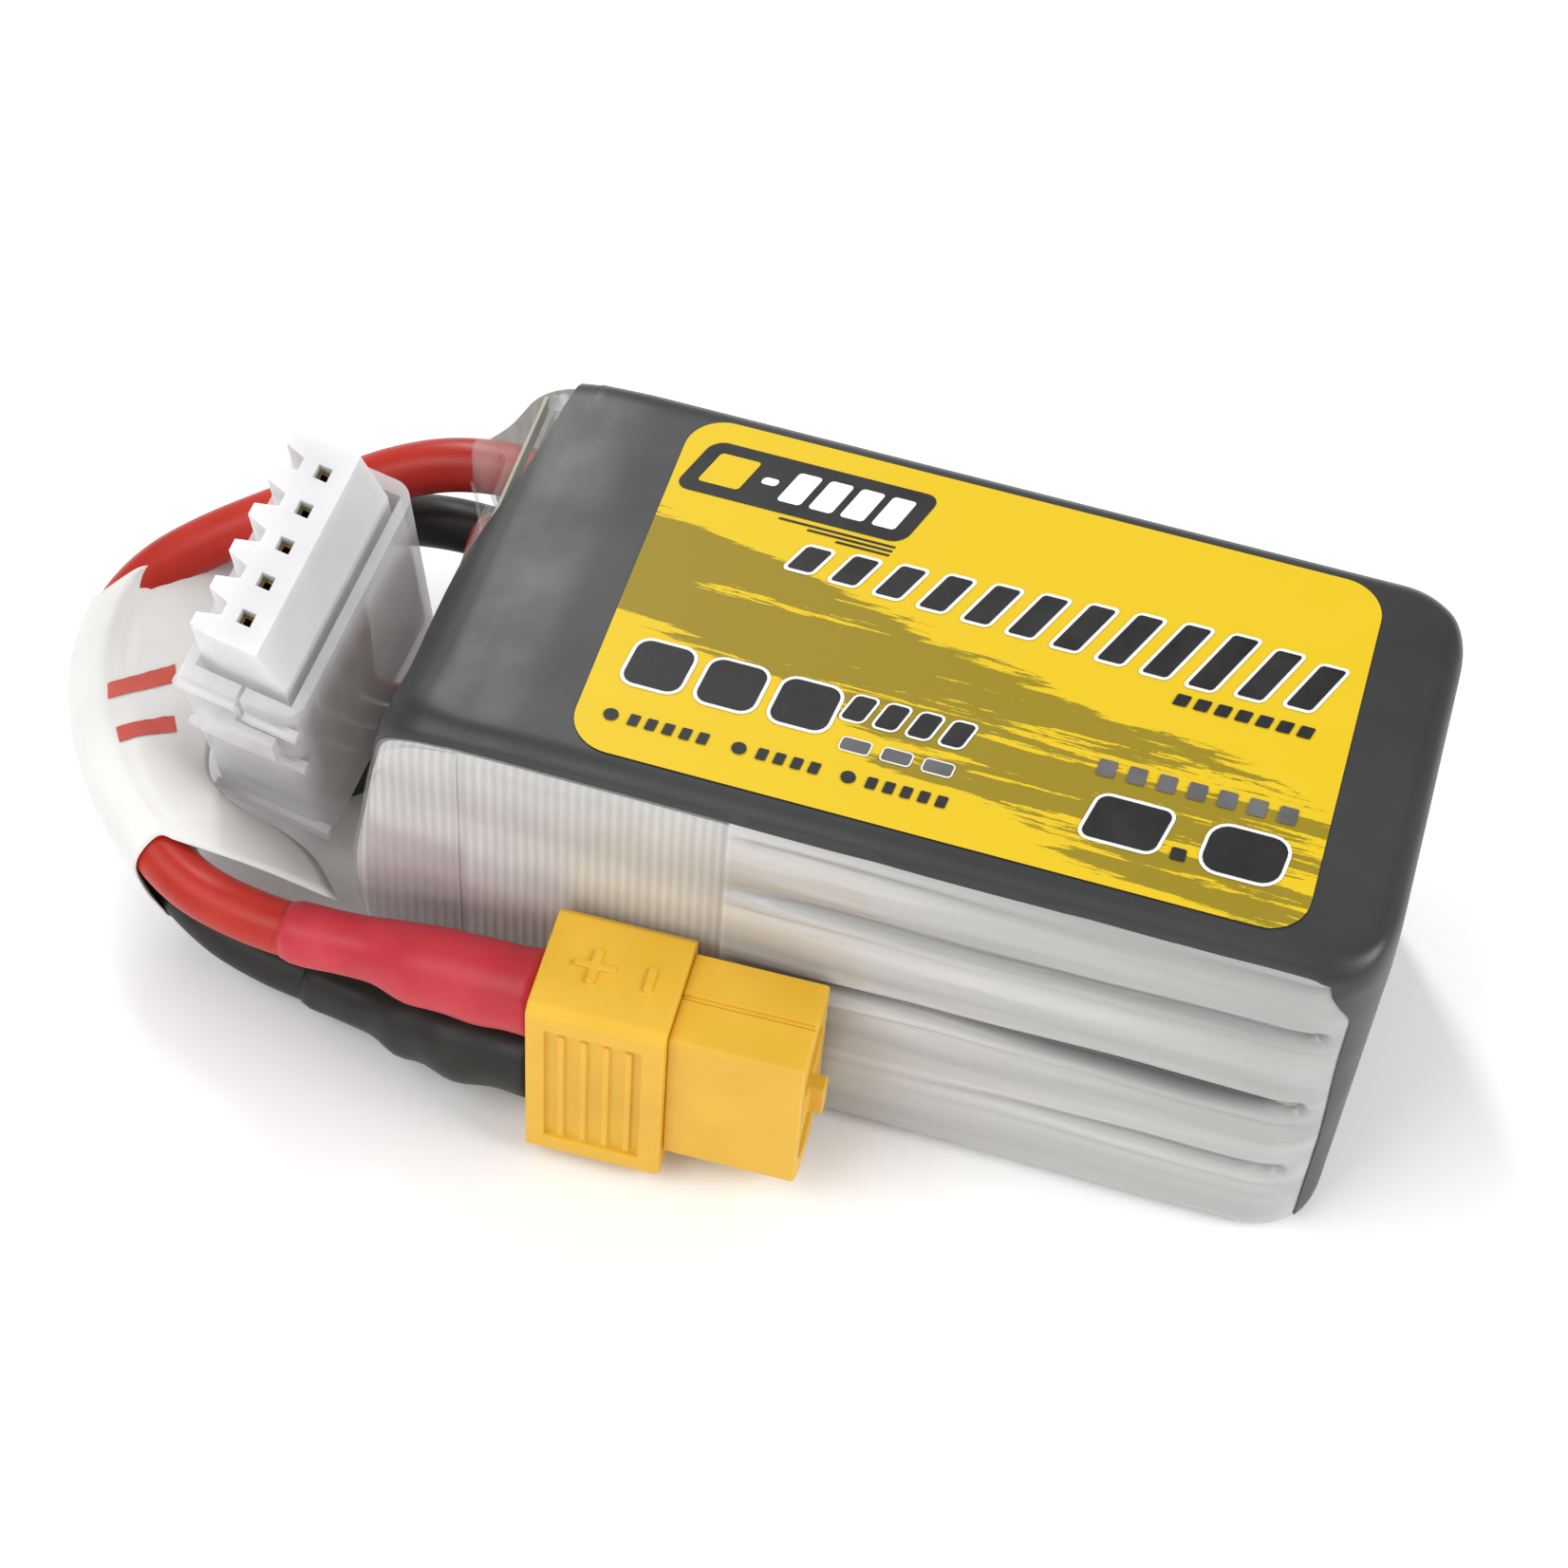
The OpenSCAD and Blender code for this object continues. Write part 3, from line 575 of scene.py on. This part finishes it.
def round_in(past, r):
    """How far a round edge of radius r has come in, past mm beyond where it starts."""
    return r - math.sqrt(max(0.0, r ** 2 - past ** 2)) if past > 0 else 0.0


def straight_loop(x):
    """A ring of the skin at x, which narrows round the corners of the closed end."""
    inset = round_in(x - (END_X - END_R), END_R)
    fall = round_in(x - (END_X - EDGE_R), EDGE_R)
    z1 = TOP_Z - 0.15 * smooth(-22, STRAIGHT_FROM, x) - fall
    ring = ring_points(-SIDE_Y + inset, SIDE_Y - inset, 0.02 + fall * 0.6, z1, 2.2)
    return np.array([(x, y, z) for y, z in ring])


# with one more loop at either end, for the smooth lines between them
SKIN_LOOPS = [2 * LEAD_LOOPS[0] - LEAD_LOOPS[1]] + LEAD_LOOPS + [straight_loop(-23.6)]


def skin_ring(v):
    """v 0 is the rim, 5 the start of the straight part; beyond it v is 5 + mm along the pack."""
    if v >= 5:
        return straight_loop(STRAIGHT_FROM + (v - 5))
    k = min(4, int(v))
    return spline(*SKIN_LOOPS[k:k + 4], v - k)


# ---- the seams between the cells and the film's relief over them ---------------------------
# height, width of the roll, depth and strength of the painted shade of each seam, from the top down
SEAMS = ((22.0, 0.9, 0.75, 0.45), (14.2, 1.0, 1.10, 1.0), (7.0, 0.9, 0.75, 0.55))
# each seam's strength at the lead end, and the x between which it grows to full
SEAM_LEAST = (0.45, 0.35, 0.12)
SEAM_GROWS = ((-9, -2), (-14, 2), (-2, 20))


def seam_line(i, x):
    """The height of seam i at x."""
    return SEAMS[i][0] + 0.40 * wob(x, 0, i * 9, 13, 1.3 + i) + 0.012 * x


def seam_fade(i, x):
    """How strong seam i is at x, up to 1."""
    return SEAM_LEAST[i] + (1 - SEAM_LEAST[i]) * smooth(*SEAM_GROWS[i], x)


def top_crease(x, z, width):
    """1 on the thin crease just under the pack's upper edge."""
    return lump(z, 27.6 + 0.015 * x, width)


def relief(x, z):
    """How far, in mm, the film lies inward of the plain skin on the long sides."""
    # 1 where the tape lies under the film and keeps it almost flat
    taped = smooth(-8.0, -9.2, x)
    depth = 0.0
    for i, (_, wide, deep, _) in enumerate(SEAMS):
        d = z - seam_line(i, x)
        fade = seam_fade(i, x) * (1 - 0.94 * taped)
        # a soft roll above the seam, a sharp lip under it, and a dimple at its closed end
        depth += deep * fade * lump(d, 0, wide if d > 0 else 0.42)
        depth += 0.22 * fade * lump(d, -1.5, 0.4)
        depth += lump(x, 26.2, 0.8) * lump(d, 0, 0.55)
    depth += 0.32 * top_crease(x, z, 0.26) * (1 - 0.85 * taped)
    depth += 0.14 * wob(x * 0.22, 0, z, 2.6, 5.0) * (1 - 0.7 * taped)
    depth += 0.10 * (1 + wob(x, 0, z, 7.0, 2.0)) * smooth(27, 20, z)
    return depth


def painted_seam_shade_at(x, z):
    """How much painted shade the film takes: full in the seams between two cells, less in the crease under
    its upper edge.
    """
    clear = smooth(-8.6, -7.0, x)
    widths = (0.24, 0.26 + 0.26 * smooth(4, 16, x) * smooth(29, 20, x), 0.26)
    value = 0.35 * top_crease(x, z, 0.16) * clear
    for i, (_, _, _, dark) in enumerate(SEAMS):
        value += dark * seam_fade(i, x) * lump(z, seam_line(i, x) + 0.05, widths[i]) * clear
    return min(1.0, value) * smooth(27.4, 26.8, x)


def skin_grid(offset, edge=None):
    """Rings of points over the whole pack, offset mm out; edge holds a print's first v by column."""
    # nine rings to each step between loops, then one every 0.6 mm, then closer together round the end
    vs = [k / 9 for k in range(45)]
    vs += [5 + d for d in np.arange(0, LONG, 0.6)]
    vs += [5 + LONG + END_R * math.sin(math.radians(a)) for a in range(0, 91, 6)]
    rings = []
    for v in vs:
        if edge is not None and v < 5:
            # each column has its own v here, so that the grid starts on the print's edge
            ring = np.array([skin_ring(min(4.9999, edge[u] + (5 - edge[u]) * v / 5))[u]
                             for u in range(N_RING)])
        else:
            ring = skin_ring(v).copy()
        rings.append(ring)
    grid = np.array(rings)
    for p in grid.reshape(-1, 3):
        x, y, z = p
        # how much of the relief shows here: only on the long sides, fading at their edges
        side = smooth(14.2, 15.2, abs(y)) * smooth(-32, -27, x)
        if side > 0:
            side *= (1 - smooth(27.0, 28.0, x)) * smooth(29.6, 28.6, z) * smooth(0.2, 1.2, z)
            p[1] -= math.copysign(relief(x, z) * side, y)
        if x < -24 and abs(y) < 15:
            p[2] -= 0.10 * (1 + wob(x, y, 0, 6, 4.0)) * smooth(-24, -28, x) * smooth(15, 20, z)
    if offset:
        du = np.roll(grid, -1, axis=1) - np.roll(grid, 1, axis=1)
        dv = np.gradient(grid, axis=0)
        n = np.cross(du, dv)
        n /= np.maximum(np.linalg.norm(n, axis=2)[:, :, None], 1e-9)
        outward = np.sign((n * (grid - MIDDLE)).sum(axis=2))[:, :, None]
        grid = grid + n * outward * offset
    return grid


def capped(grid):
    """The grid with more rings, as far along as its last, that shrink to a point and close it."""
    last = grid[-1]
    centre = np.array([0, 0, 14.9])
    extra = [centre + (last - centre) * s for s in (0.985, 0.9, 0.6, 0.3, 0.0005)]
    for ring in extra:
        ring[:, 0] = last[:, 0]
    return np.concatenate([grid, np.array(extra)])


# in mm: how far out the wrap lies, the film's lip, and how far in the tape lies and where it ends
WRAP_LIFT = 0.11
LIP_R = 0.13
TAPE_SINK = -0.28
OVERLAP_LIFT = 0.10
TAPE_END_X = -8.4
OVERLAP_END_X = -25.0
# a column halfway up the front, a row on the straight part near the closed end, and how far from the
# middle the painted shade in the seams between the cells can show
FRONT_COLUMN = 60
STRAIGHT_ROW = -30
SEAM_SHADE_BEYOND_Y = 13.5
# where the front's columns end and the back's begin, each with its share of the top's corner
FRONT_END = TOP_START + 3
BACK_START = TOP_END - 3
# where the printed wrap begins, as v for each y: it slants from back to front
PRINT_EDGE = np.array(((-15.4, 2.1), (-9, 2.2), (-5, 2.5), (0, 3.1), (5, 3.7), (9.7, 4.15), (12.6, 4.4),
                       (15.4, 4.5)))


def wrap_start(y, z):
    """Where the wrap's sides begin near the closed end."""
    return 28.9 - 0.4 * smooth(10, 22, z) - (1.8 if y < 0 else 0) * smooth(24, 28.8, z)


def quad(i, j):
    """The skin's face at row i, column j, facing out."""
    k = (j + 1) % N_RING
    return ((i + 1) * N_RING + j, (i + 1) * N_RING + k, i * N_RING + k, i * N_RING + j)


def add_film():
    """The clear shrink film, with a thin bright lip where it ends."""
    grid = capped(skin_grid(0.0))
    points = grid.reshape(-1, 3)
    film = mesh_object("film_skin", points, grid_faces(len(grid), N_RING, True, True),
                       MATS["shrink_sleeve"])
    # painted shade in the seams between the cells and under the upper edge, kept as a value at each point
    painted_seam_shade = film.data.attributes.new("painted_seam_shade", "FLOAT", "POINT")
    painted_seam_shade.data.foreach_set("value", [painted_seam_shade_at(x, z) if abs(y) > SEAM_SHADE_BEYOND_Y else 0.0
                                   for x, y, z in points])
    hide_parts("shrink_sleeve")
    rim = curve_points([*grid[0], grid[0][0]], 2)
    sweep("film_lip", rim, lambda i, a: LIP_R, MATS["shrink_sleeve"], 8)


def add_wrap():
    """The printed wrap: the top as far as its rounded long edges, and the closed end."""
    edge = np.interp(LEAD_LOOPS[4][:, 1], *PRINT_EDGE.T)
    grid = capped(skin_grid(WRAP_LIFT, edge))
    # each side column's rings before its start are gathered there, so that the edge runs smoothly
    start = np.full(N_RING, -99.0)
    for j in [*range(FRONT_END), *range(BACK_START, N_RING)]:
        xs = grid[:, j, 0].copy()
        i = int(np.argmax(xs > wrap_start(*grid[STRAIGHT_ROW, j, 1:])))
        start[j] = wrap_start(*grid[i, j, 1:])
        t = min(1.0, max(0.0, (start[j] - xs[i - 1]) / (xs[i] - xs[i - 1])))
        grid[:i, j] = grid[i - 1, j] + (grid[i, j] - grid[i - 1, j]) * t
    shown = grid[:, :, 0] > start
    faces = [quad(i, j) for i in range(len(grid) - 1) for j in range(N_RING)
             if shown[i + 1][j] or shown[i + 1][(j + 1) % N_RING]]
    wrap = mesh_object("printed_wrap", grid.reshape(-1, 3), faces, MATS["label_wrap"])
    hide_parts("label_wrap")


def add_tape():
    """Ribbed tape under the film on both sides at the lead end, and its overlap at the front."""
    grid = skin_grid(TAPE_SINK)
    front_x = grid[:, FRONT_COLUMN, 0]

    def faces(end_x, columns):
        rows = np.flatnonzero(front_x < end_x)[:-1].tolist()
        return [quad(i, j) for i in rows for j in columns]

    belt = [*range(FRONT_END + 1), *range(BACK_START, TOP_END + COUNTS["back"] - 3)]
    tape = mesh_object("ribbed_tape", grid.reshape(-1, 3), faces(TAPE_END_X, belt), MATS["filament_tape"])
    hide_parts("filament_tape")
    grid[:, :, 1] -= OVERLAP_LIFT
    mesh_object("tape_overlap", grid.reshape(-1, 3), faces(OVERLAP_END_X, range(6, TOP_START + 2)),
                MATS["filament_tape"])


add_film()
add_wrap()
add_tape()


# ---- label and its plain marks -------------------------------------------------------------
def slab(cx, cy, w, h, slant, r, n=5):
    """Outline of a rounded parallelogram, with n steps round each corner."""
    out = []
    for sx, sy, start in ((1, 1, 0), (-1, 1, 90), (-1, -1, 180), (1, -1, 270)):
        for k in range(n + 1):
            a = math.radians(start + 90 * k / n)
            x = sx * (w / 2 - r) + r * math.cos(a)
            y = sy * (h / 2 - r) + r * math.sin(a)
            out.append((cx + x + slant * y, cy + y))
    return out


def flat_shapes(name, shapes, z, mat):
    """Flat outlines as one piece at height z."""
    points, faces = [], []
    for s in shapes:
        faces.append(tuple(range(len(points), len(points) + len(s))))
        points += [(x, y, z) for x, y in s]
    return mesh_object(name, points, faces, MATS[mat], shade=False)


# each set of marks on the label: the height it lies at and its material
MARKS = {"mark_plates": (29.98, "ink_black"), "mark_white": (30.0, "ink_white"),
         "mark_black": (30.02, "ink_black"), "mark_grey": (30.02, "ink_grey"),
         "mark_yellow": (30.0, "label_panel")}
LABEL_Z = 29.95
# the emblem's bars: x and width
EMBLEM_BARS = ((-16.2, 2.6), (-13.6, 1.0), (-11.7, 1.5), (-9.7, 1.5), (-7.7, 1.5), (-5.7, 1.5))


def bordered(marks, ink, cx, cy, w, h, slant, r, border=0.22):
    """A mark with a white border."""
    marks["mark_white"].append(slab(cx, cy, w + 2 * border, h + 2 * border, slant, r + border))
    marks[ink].append(slab(cx, cy, w, h, slant, r))


def emblem(marks):
    """Top left: a dark slanted plate with plain light bars, over three thin lines."""
    marks["mark_plates"].append(slab(-11.2, 9.6, 14.6, 4.4, 0.32, 0.9))
    for k, (x, w) in enumerate(EMBLEM_BARS):
        ink = "mark_white" if k else "mark_yellow"
        marks[ink].append(slab(x, 9.6, w, 0.6 if k == 1 else 2.6, 0.32, 0.25))
    for k in range(3):
        marks["mark_plates"].append(slab(-8.6 + 0.9 * k, 7.0 - 0.36 * k, 7.4 - 2.0 * k, 0.18, 0.3, 0.08))


def leaning_bars(marks):
    """Across the middle: leaning bars that grow to the right, and a row of small blocks."""
    for k in range(12):
        h = 2.0 + 0.30 * k if k < 9 else 4.6 - 0.5 * (k - 9)
        bordered(marks, "mark_black", -9.6 + 2.85 * k, 4.2 + 0.10 * h, 1.55, h, 0.42, 0.22)
    for k in range(7):
        marks["mark_black"].append(slab(14.3 + 1.25 * k, 1.1, 0.85, 0.9, 0.25, 0.1))


def lower_left(marks):
    """Three blocks, two small rows beside them, and a row of dots with small blocks after each."""
    for k in range(3):
        bordered(marks, "mark_black", -15.8 + 4.5 * k, -6.3, 3.5, 3.4, 0.1, 0.8)
    for k in range(4):
        bordered(marks, "mark_black", -3.7 + 2.0 * k, -5.6, 1.3, 1.9, 0.3, 0.3, 0.16)
    for k in range(3):
        bordered(marks, "mark_grey", -3.2 + 2.5 * k, -8.3, 1.7, 0.9, 0.1, 0.2, 0.1)
    for x, n in ((-17.4, 5), (-9.6, 4), (-3.0, 5)):
        marks["mark_black"].append(slab(x, -10.6, 0.9, 0.9, 0.0, 0.44))
        for k in range(n):
            marks["mark_black"].append(slab(x + 1.4 + 1.05 * k, -10.6, 0.62, 0.85, 0.1, 0.08))


def lower_right(marks):
    """One small row over two big blocks."""
    for k in range(7):
        marks["mark_grey"].append(slab(11.2 + 1.8 * k, -5.2, 1.1, 1.25, 0.05, 0.15))
    bordered(marks, "mark_black", 13.2, -8.7, 4.4, 3.2, 0.2, 0.6)
    marks["mark_black"].append(slab(16.5, -9.9, 0.9, 0.9, 0, 0.15))
    bordered(marks, "mark_black", 20.2, -8.7, 4.6, 3.4, 0.1, 1.1)


def add_label():
    """The yellow panel, and its marks just above it."""
    panel = flat_shapes("yellow_panel", [slab(2.5, 0.1, 44, 26.8, 0, 2.6, 10)], LABEL_Z, "label_panel")
    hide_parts("label_panel")
    marks = {name: [] for name in MARKS}
    emblem(marks)
    leaning_bars(marks)
    lower_left(marks)
    lower_right(marks)
    for name, (z, mat) in MARKS.items():
        flat_shapes(name, marks[name], z, mat)


add_label()


# ---- tag round the leads -------------------------------------------------------------------
def nearest(line, p):
    """The point of a line that lies closest to p as seen from above."""
    return line[int(np.argmin(np.linalg.norm((line - p)[:, :2], axis=1)))]


# where the loose end of the flag lies, beside the clip and then along the red lead: station, x, y, z
FLAG_EDGE = ((8.0, -47.6, 6.2, 12.7), (8.6, -45.3, 4.5, 12.3), (9.2, -44.5, 2.2, 11.9),
             (10.0, -45.0, -2.5, 11.2), (10.7, -45.5, -6.2, 10.3), (11.2, -45.0, -8.6, 9.0),
             (11.7, -42.2, -9.6, 8.0), (12.2, -39.4, -9.9, 7.6), (12.7, -36.6, -11.2, 7.8),
             (13.2, -33.8, -14.6, 8.7))
UP = np.array([0, 0, 1.0])
# the paper's distance from a lead's middle, and its thickness
TAG_R = 1.95
PAPER = 0.12
# rows along the leads, how many of a row's points lie on the loose flag, and the point from which the
# paper hugs the leads and crinkles less
TAG_ROWS = 42
FLAG_POINTS = 16
HUGS_FROM = 12
CRINKLE = 0.16
FLOOR_GAP = 0.3
# the corners of the two printed bars, seen from above
TAG_BARS = (("tag_bar_1", ((-52.2, -6.7), (-48.8, -3.4), (-51.7, -7.6), (-48.3, -4.4))),
            ("tag_bar_2", ((-50.5, -9.2), (-47.7, -6.5), (-49.9, -10.1), (-47.2, -7.4))))
BAR_LIFT = 0.14


def unit(v):
    return v / np.linalg.norm(v)


def tag_row(station, edge):
    """The paper across the red lead at a station, from its loose edge over and round both leads."""
    k = int(round(station * LEAD_STEPS))
    skew = int(round(3 * smooth(10, 8, station)))
    ahead = RED_LINE[k + skew]
    red = RED_LINE[k - skew]
    black = nearest(BLACK_LINE, ahead)
    along = RED_LINE[k + 2] - RED_LINE[k - 2]
    flag = unit((edge - red) * (1, 1, 0))
    out = unit(np.array([along[1], -along[0], 0]))
    near = red + flag * 2.6 + UP * 1.45
    return curve_points([
        edge, edge * 0.5 + near * 0.5 + UP * 0.35, near, red + flag * 1.1 + UP * (TAG_R - 0.1),
        red + UP * (TAG_R + 0.05), ahead + (out + UP) * TAG_R * 0.72, ahead + out * TAG_R,
        (ahead + black) / 2 + out * (TAG_R + 0.2), black + out * TAG_R,
        black + (out - UP) * TAG_R * 0.7, black - UP * TAG_R, black - out * 1.4 - UP * 1.3,
        black - out * 2.1 + UP * 0.2], 5)


def add_tag_bar(name, corners, flag):
    """A plain printed bar that lies on the flag, whose points are given."""
    a, b, c, d = (np.array(q) for q in corners)
    points = []
    for v in np.linspace(0, 1, 4):
        for u in np.linspace(0, 1, 12):
            q = (a * (1 - u) + b * u) * (1 - v) + (c * (1 - u) + d * u) * v
            weight = 1 / (np.hypot(flag[:, 0] - q[0], flag[:, 1] - q[1]) + 0.02) ** 4
            height = float((flag[:, 2] * weight).sum() / weight.sum())
            points.append((q[0], q[1], height + BAR_LIFT))
    mesh_object(name, points, grid_faces(4, 12), MATS["tag_print"])


def add_tag():
    """A paper flag folded round both leads, whose loose end lies inside their loop."""
    knots = np.array(FLAG_EDGE)
    rows = []
    for station in np.linspace(knots[0][0], knots[-1][0], TAG_ROWS):
        edge = np.array([np.interp(station, knots[:, 0], knots[:, a]) for a in (1, 2, 3)])
        rows.append(tag_row(station, edge))
    grid = np.array(rows)
    loose = grid[:, :FLAG_POINTS]
    for _ in range(3):
        loose[1:-1] = (loose[:-2] + 2 * loose[1:-1] + loose[2:]) / 4
    for row in grid:
        for k, p in enumerate(row):
            p[2] += CRINKLE * wob(*p, 4.5, 7.0) * (1 if k < HUGS_FROM else 0.2)
            p[2] = max(p[2], FLOOR_GAP)
    tag = mesh_object("paper_tag", grid.reshape(-1, 3), grid_faces(len(grid), grid.shape[1]),
                      MATS["lead_tag"])
    thick = tag.modifiers.new("thickness", "SOLIDIFY")
    thick.thickness = PAPER * MM
    thick.offset = 0
    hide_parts("lead_tag")
    flag = grid[:, :FLAG_POINTS + 1].reshape(-1, 3)
    for name, corners in TAG_BARS:
        add_tag_bar(name, corners, flag)


add_tag()


# ---- CAD pieces that show as they are ------------------------------------------------------
# the width of the bevel on each piece's edges, in mm, the gap across which faces count as joined, and
# the least angle of an edge that is bevelled
BEVELS = {"plug_cap": 0.2, "plug_body": 0.3, "balance_plug": 0.14, "clip_shell": 0.18,
          "clip_lid": 0.18, "terminal_board": 0.1, "tab_link_1": 0.05}
WELD_WITHIN = 0.002
SHARPER_THAN = math.radians(35)


def dress():
    """Materials on every CAD piece, and small bevels on those whose edges show."""
    slots = {s["node"]: s["material_slot"] for s in frame["record"]["subparts"]}
    for name, obj in frame["nodes"].items():
        obj.data.materials.clear()
        obj.data.materials.append(MATS[slots[name]])
    for name, width in BEVELS.items():
        obj = frame["nodes"][name]
        weld = obj.modifiers.new("weld", "WELD")
        weld.merge_threshold = WELD_WITHIN * MM
        bevel = obj.modifiers.new("bevel", "BEVEL")
        bevel.width = width * MM
        bevel.segments = 3
        bevel.limit_method = "ANGLE"
        bevel.angle_limit = SHARPER_THAN


dress()


# ---- room ----------------------------------------------------------------------------------
# each light's name, place, width, depth and power, what all of them are turned to, the even light from
# all round, and half the floor's width in metres
LIGHTS = (("key", (-0.30, -0.30, 0.50), 0.40, 0.40, 1.9),
          ("strip", (-0.24, 0.36, 0.40), 0.07, 0.40, 1.5),
          ("right", (0.45, -0.05, 0.32), 0.30, 0.30, 1.9),
          ("front", (-0.15, -0.60, 0.14), 0.50, 0.10, 0.5))
AIM = Vector((-0.005, 0, 0.015))
WORLD_LIGHT = 0.46
FLOOR_HALF = 2


def add_floor():
    floor = bpy.data.meshes.new("floor")
    corners = [(x * FLOOR_HALF, y * FLOOR_HALF, 0) for x, y in ((-1, -1), (1, -1), (1, 1), (-1, 1))]
    floor.from_pydata(corners, [], [(0, 1, 2, 3)])
    obj = bpy.data.objects.new("floor", floor)
    scene.collection.objects.link(obj)
    look = Look("floor", (0.86, 0.86, 0.86), 0.75)
    look.vary(60, ((0.95, 0.95, 0.95), (0.965, 0.965, 0.965)), (0.7, 0.8), 0.02, 0.02)
    floor.materials.append(look.mat)


def add_world():
    """Even white light from all round."""
    world = bpy.data.worlds.new("world")
    scene.world = world
    world.use_nodes = True
    background = world.node_tree.nodes["Background"]
    background.inputs["Color"].default_value = (1, 1, 1, 1)
    background.inputs["Strength"].default_value = WORLD_LIGHT


def add_lights():
    for name, at, wide, deep, power in LIGHTS:
        data = bpy.data.lights.new(name, "AREA")
        data.shape = "RECTANGLE"
        data.size = wide
        data.size_y = deep
        data.energy = power
        light = bpy.data.objects.new(name, data)
        scene.collection.objects.link(light)
        light.location = at
        light.rotation_euler = (AIM - Vector(at)).to_track_quat("-Z", "Y").to_euler()


add_floor()
add_world()
add_lights()
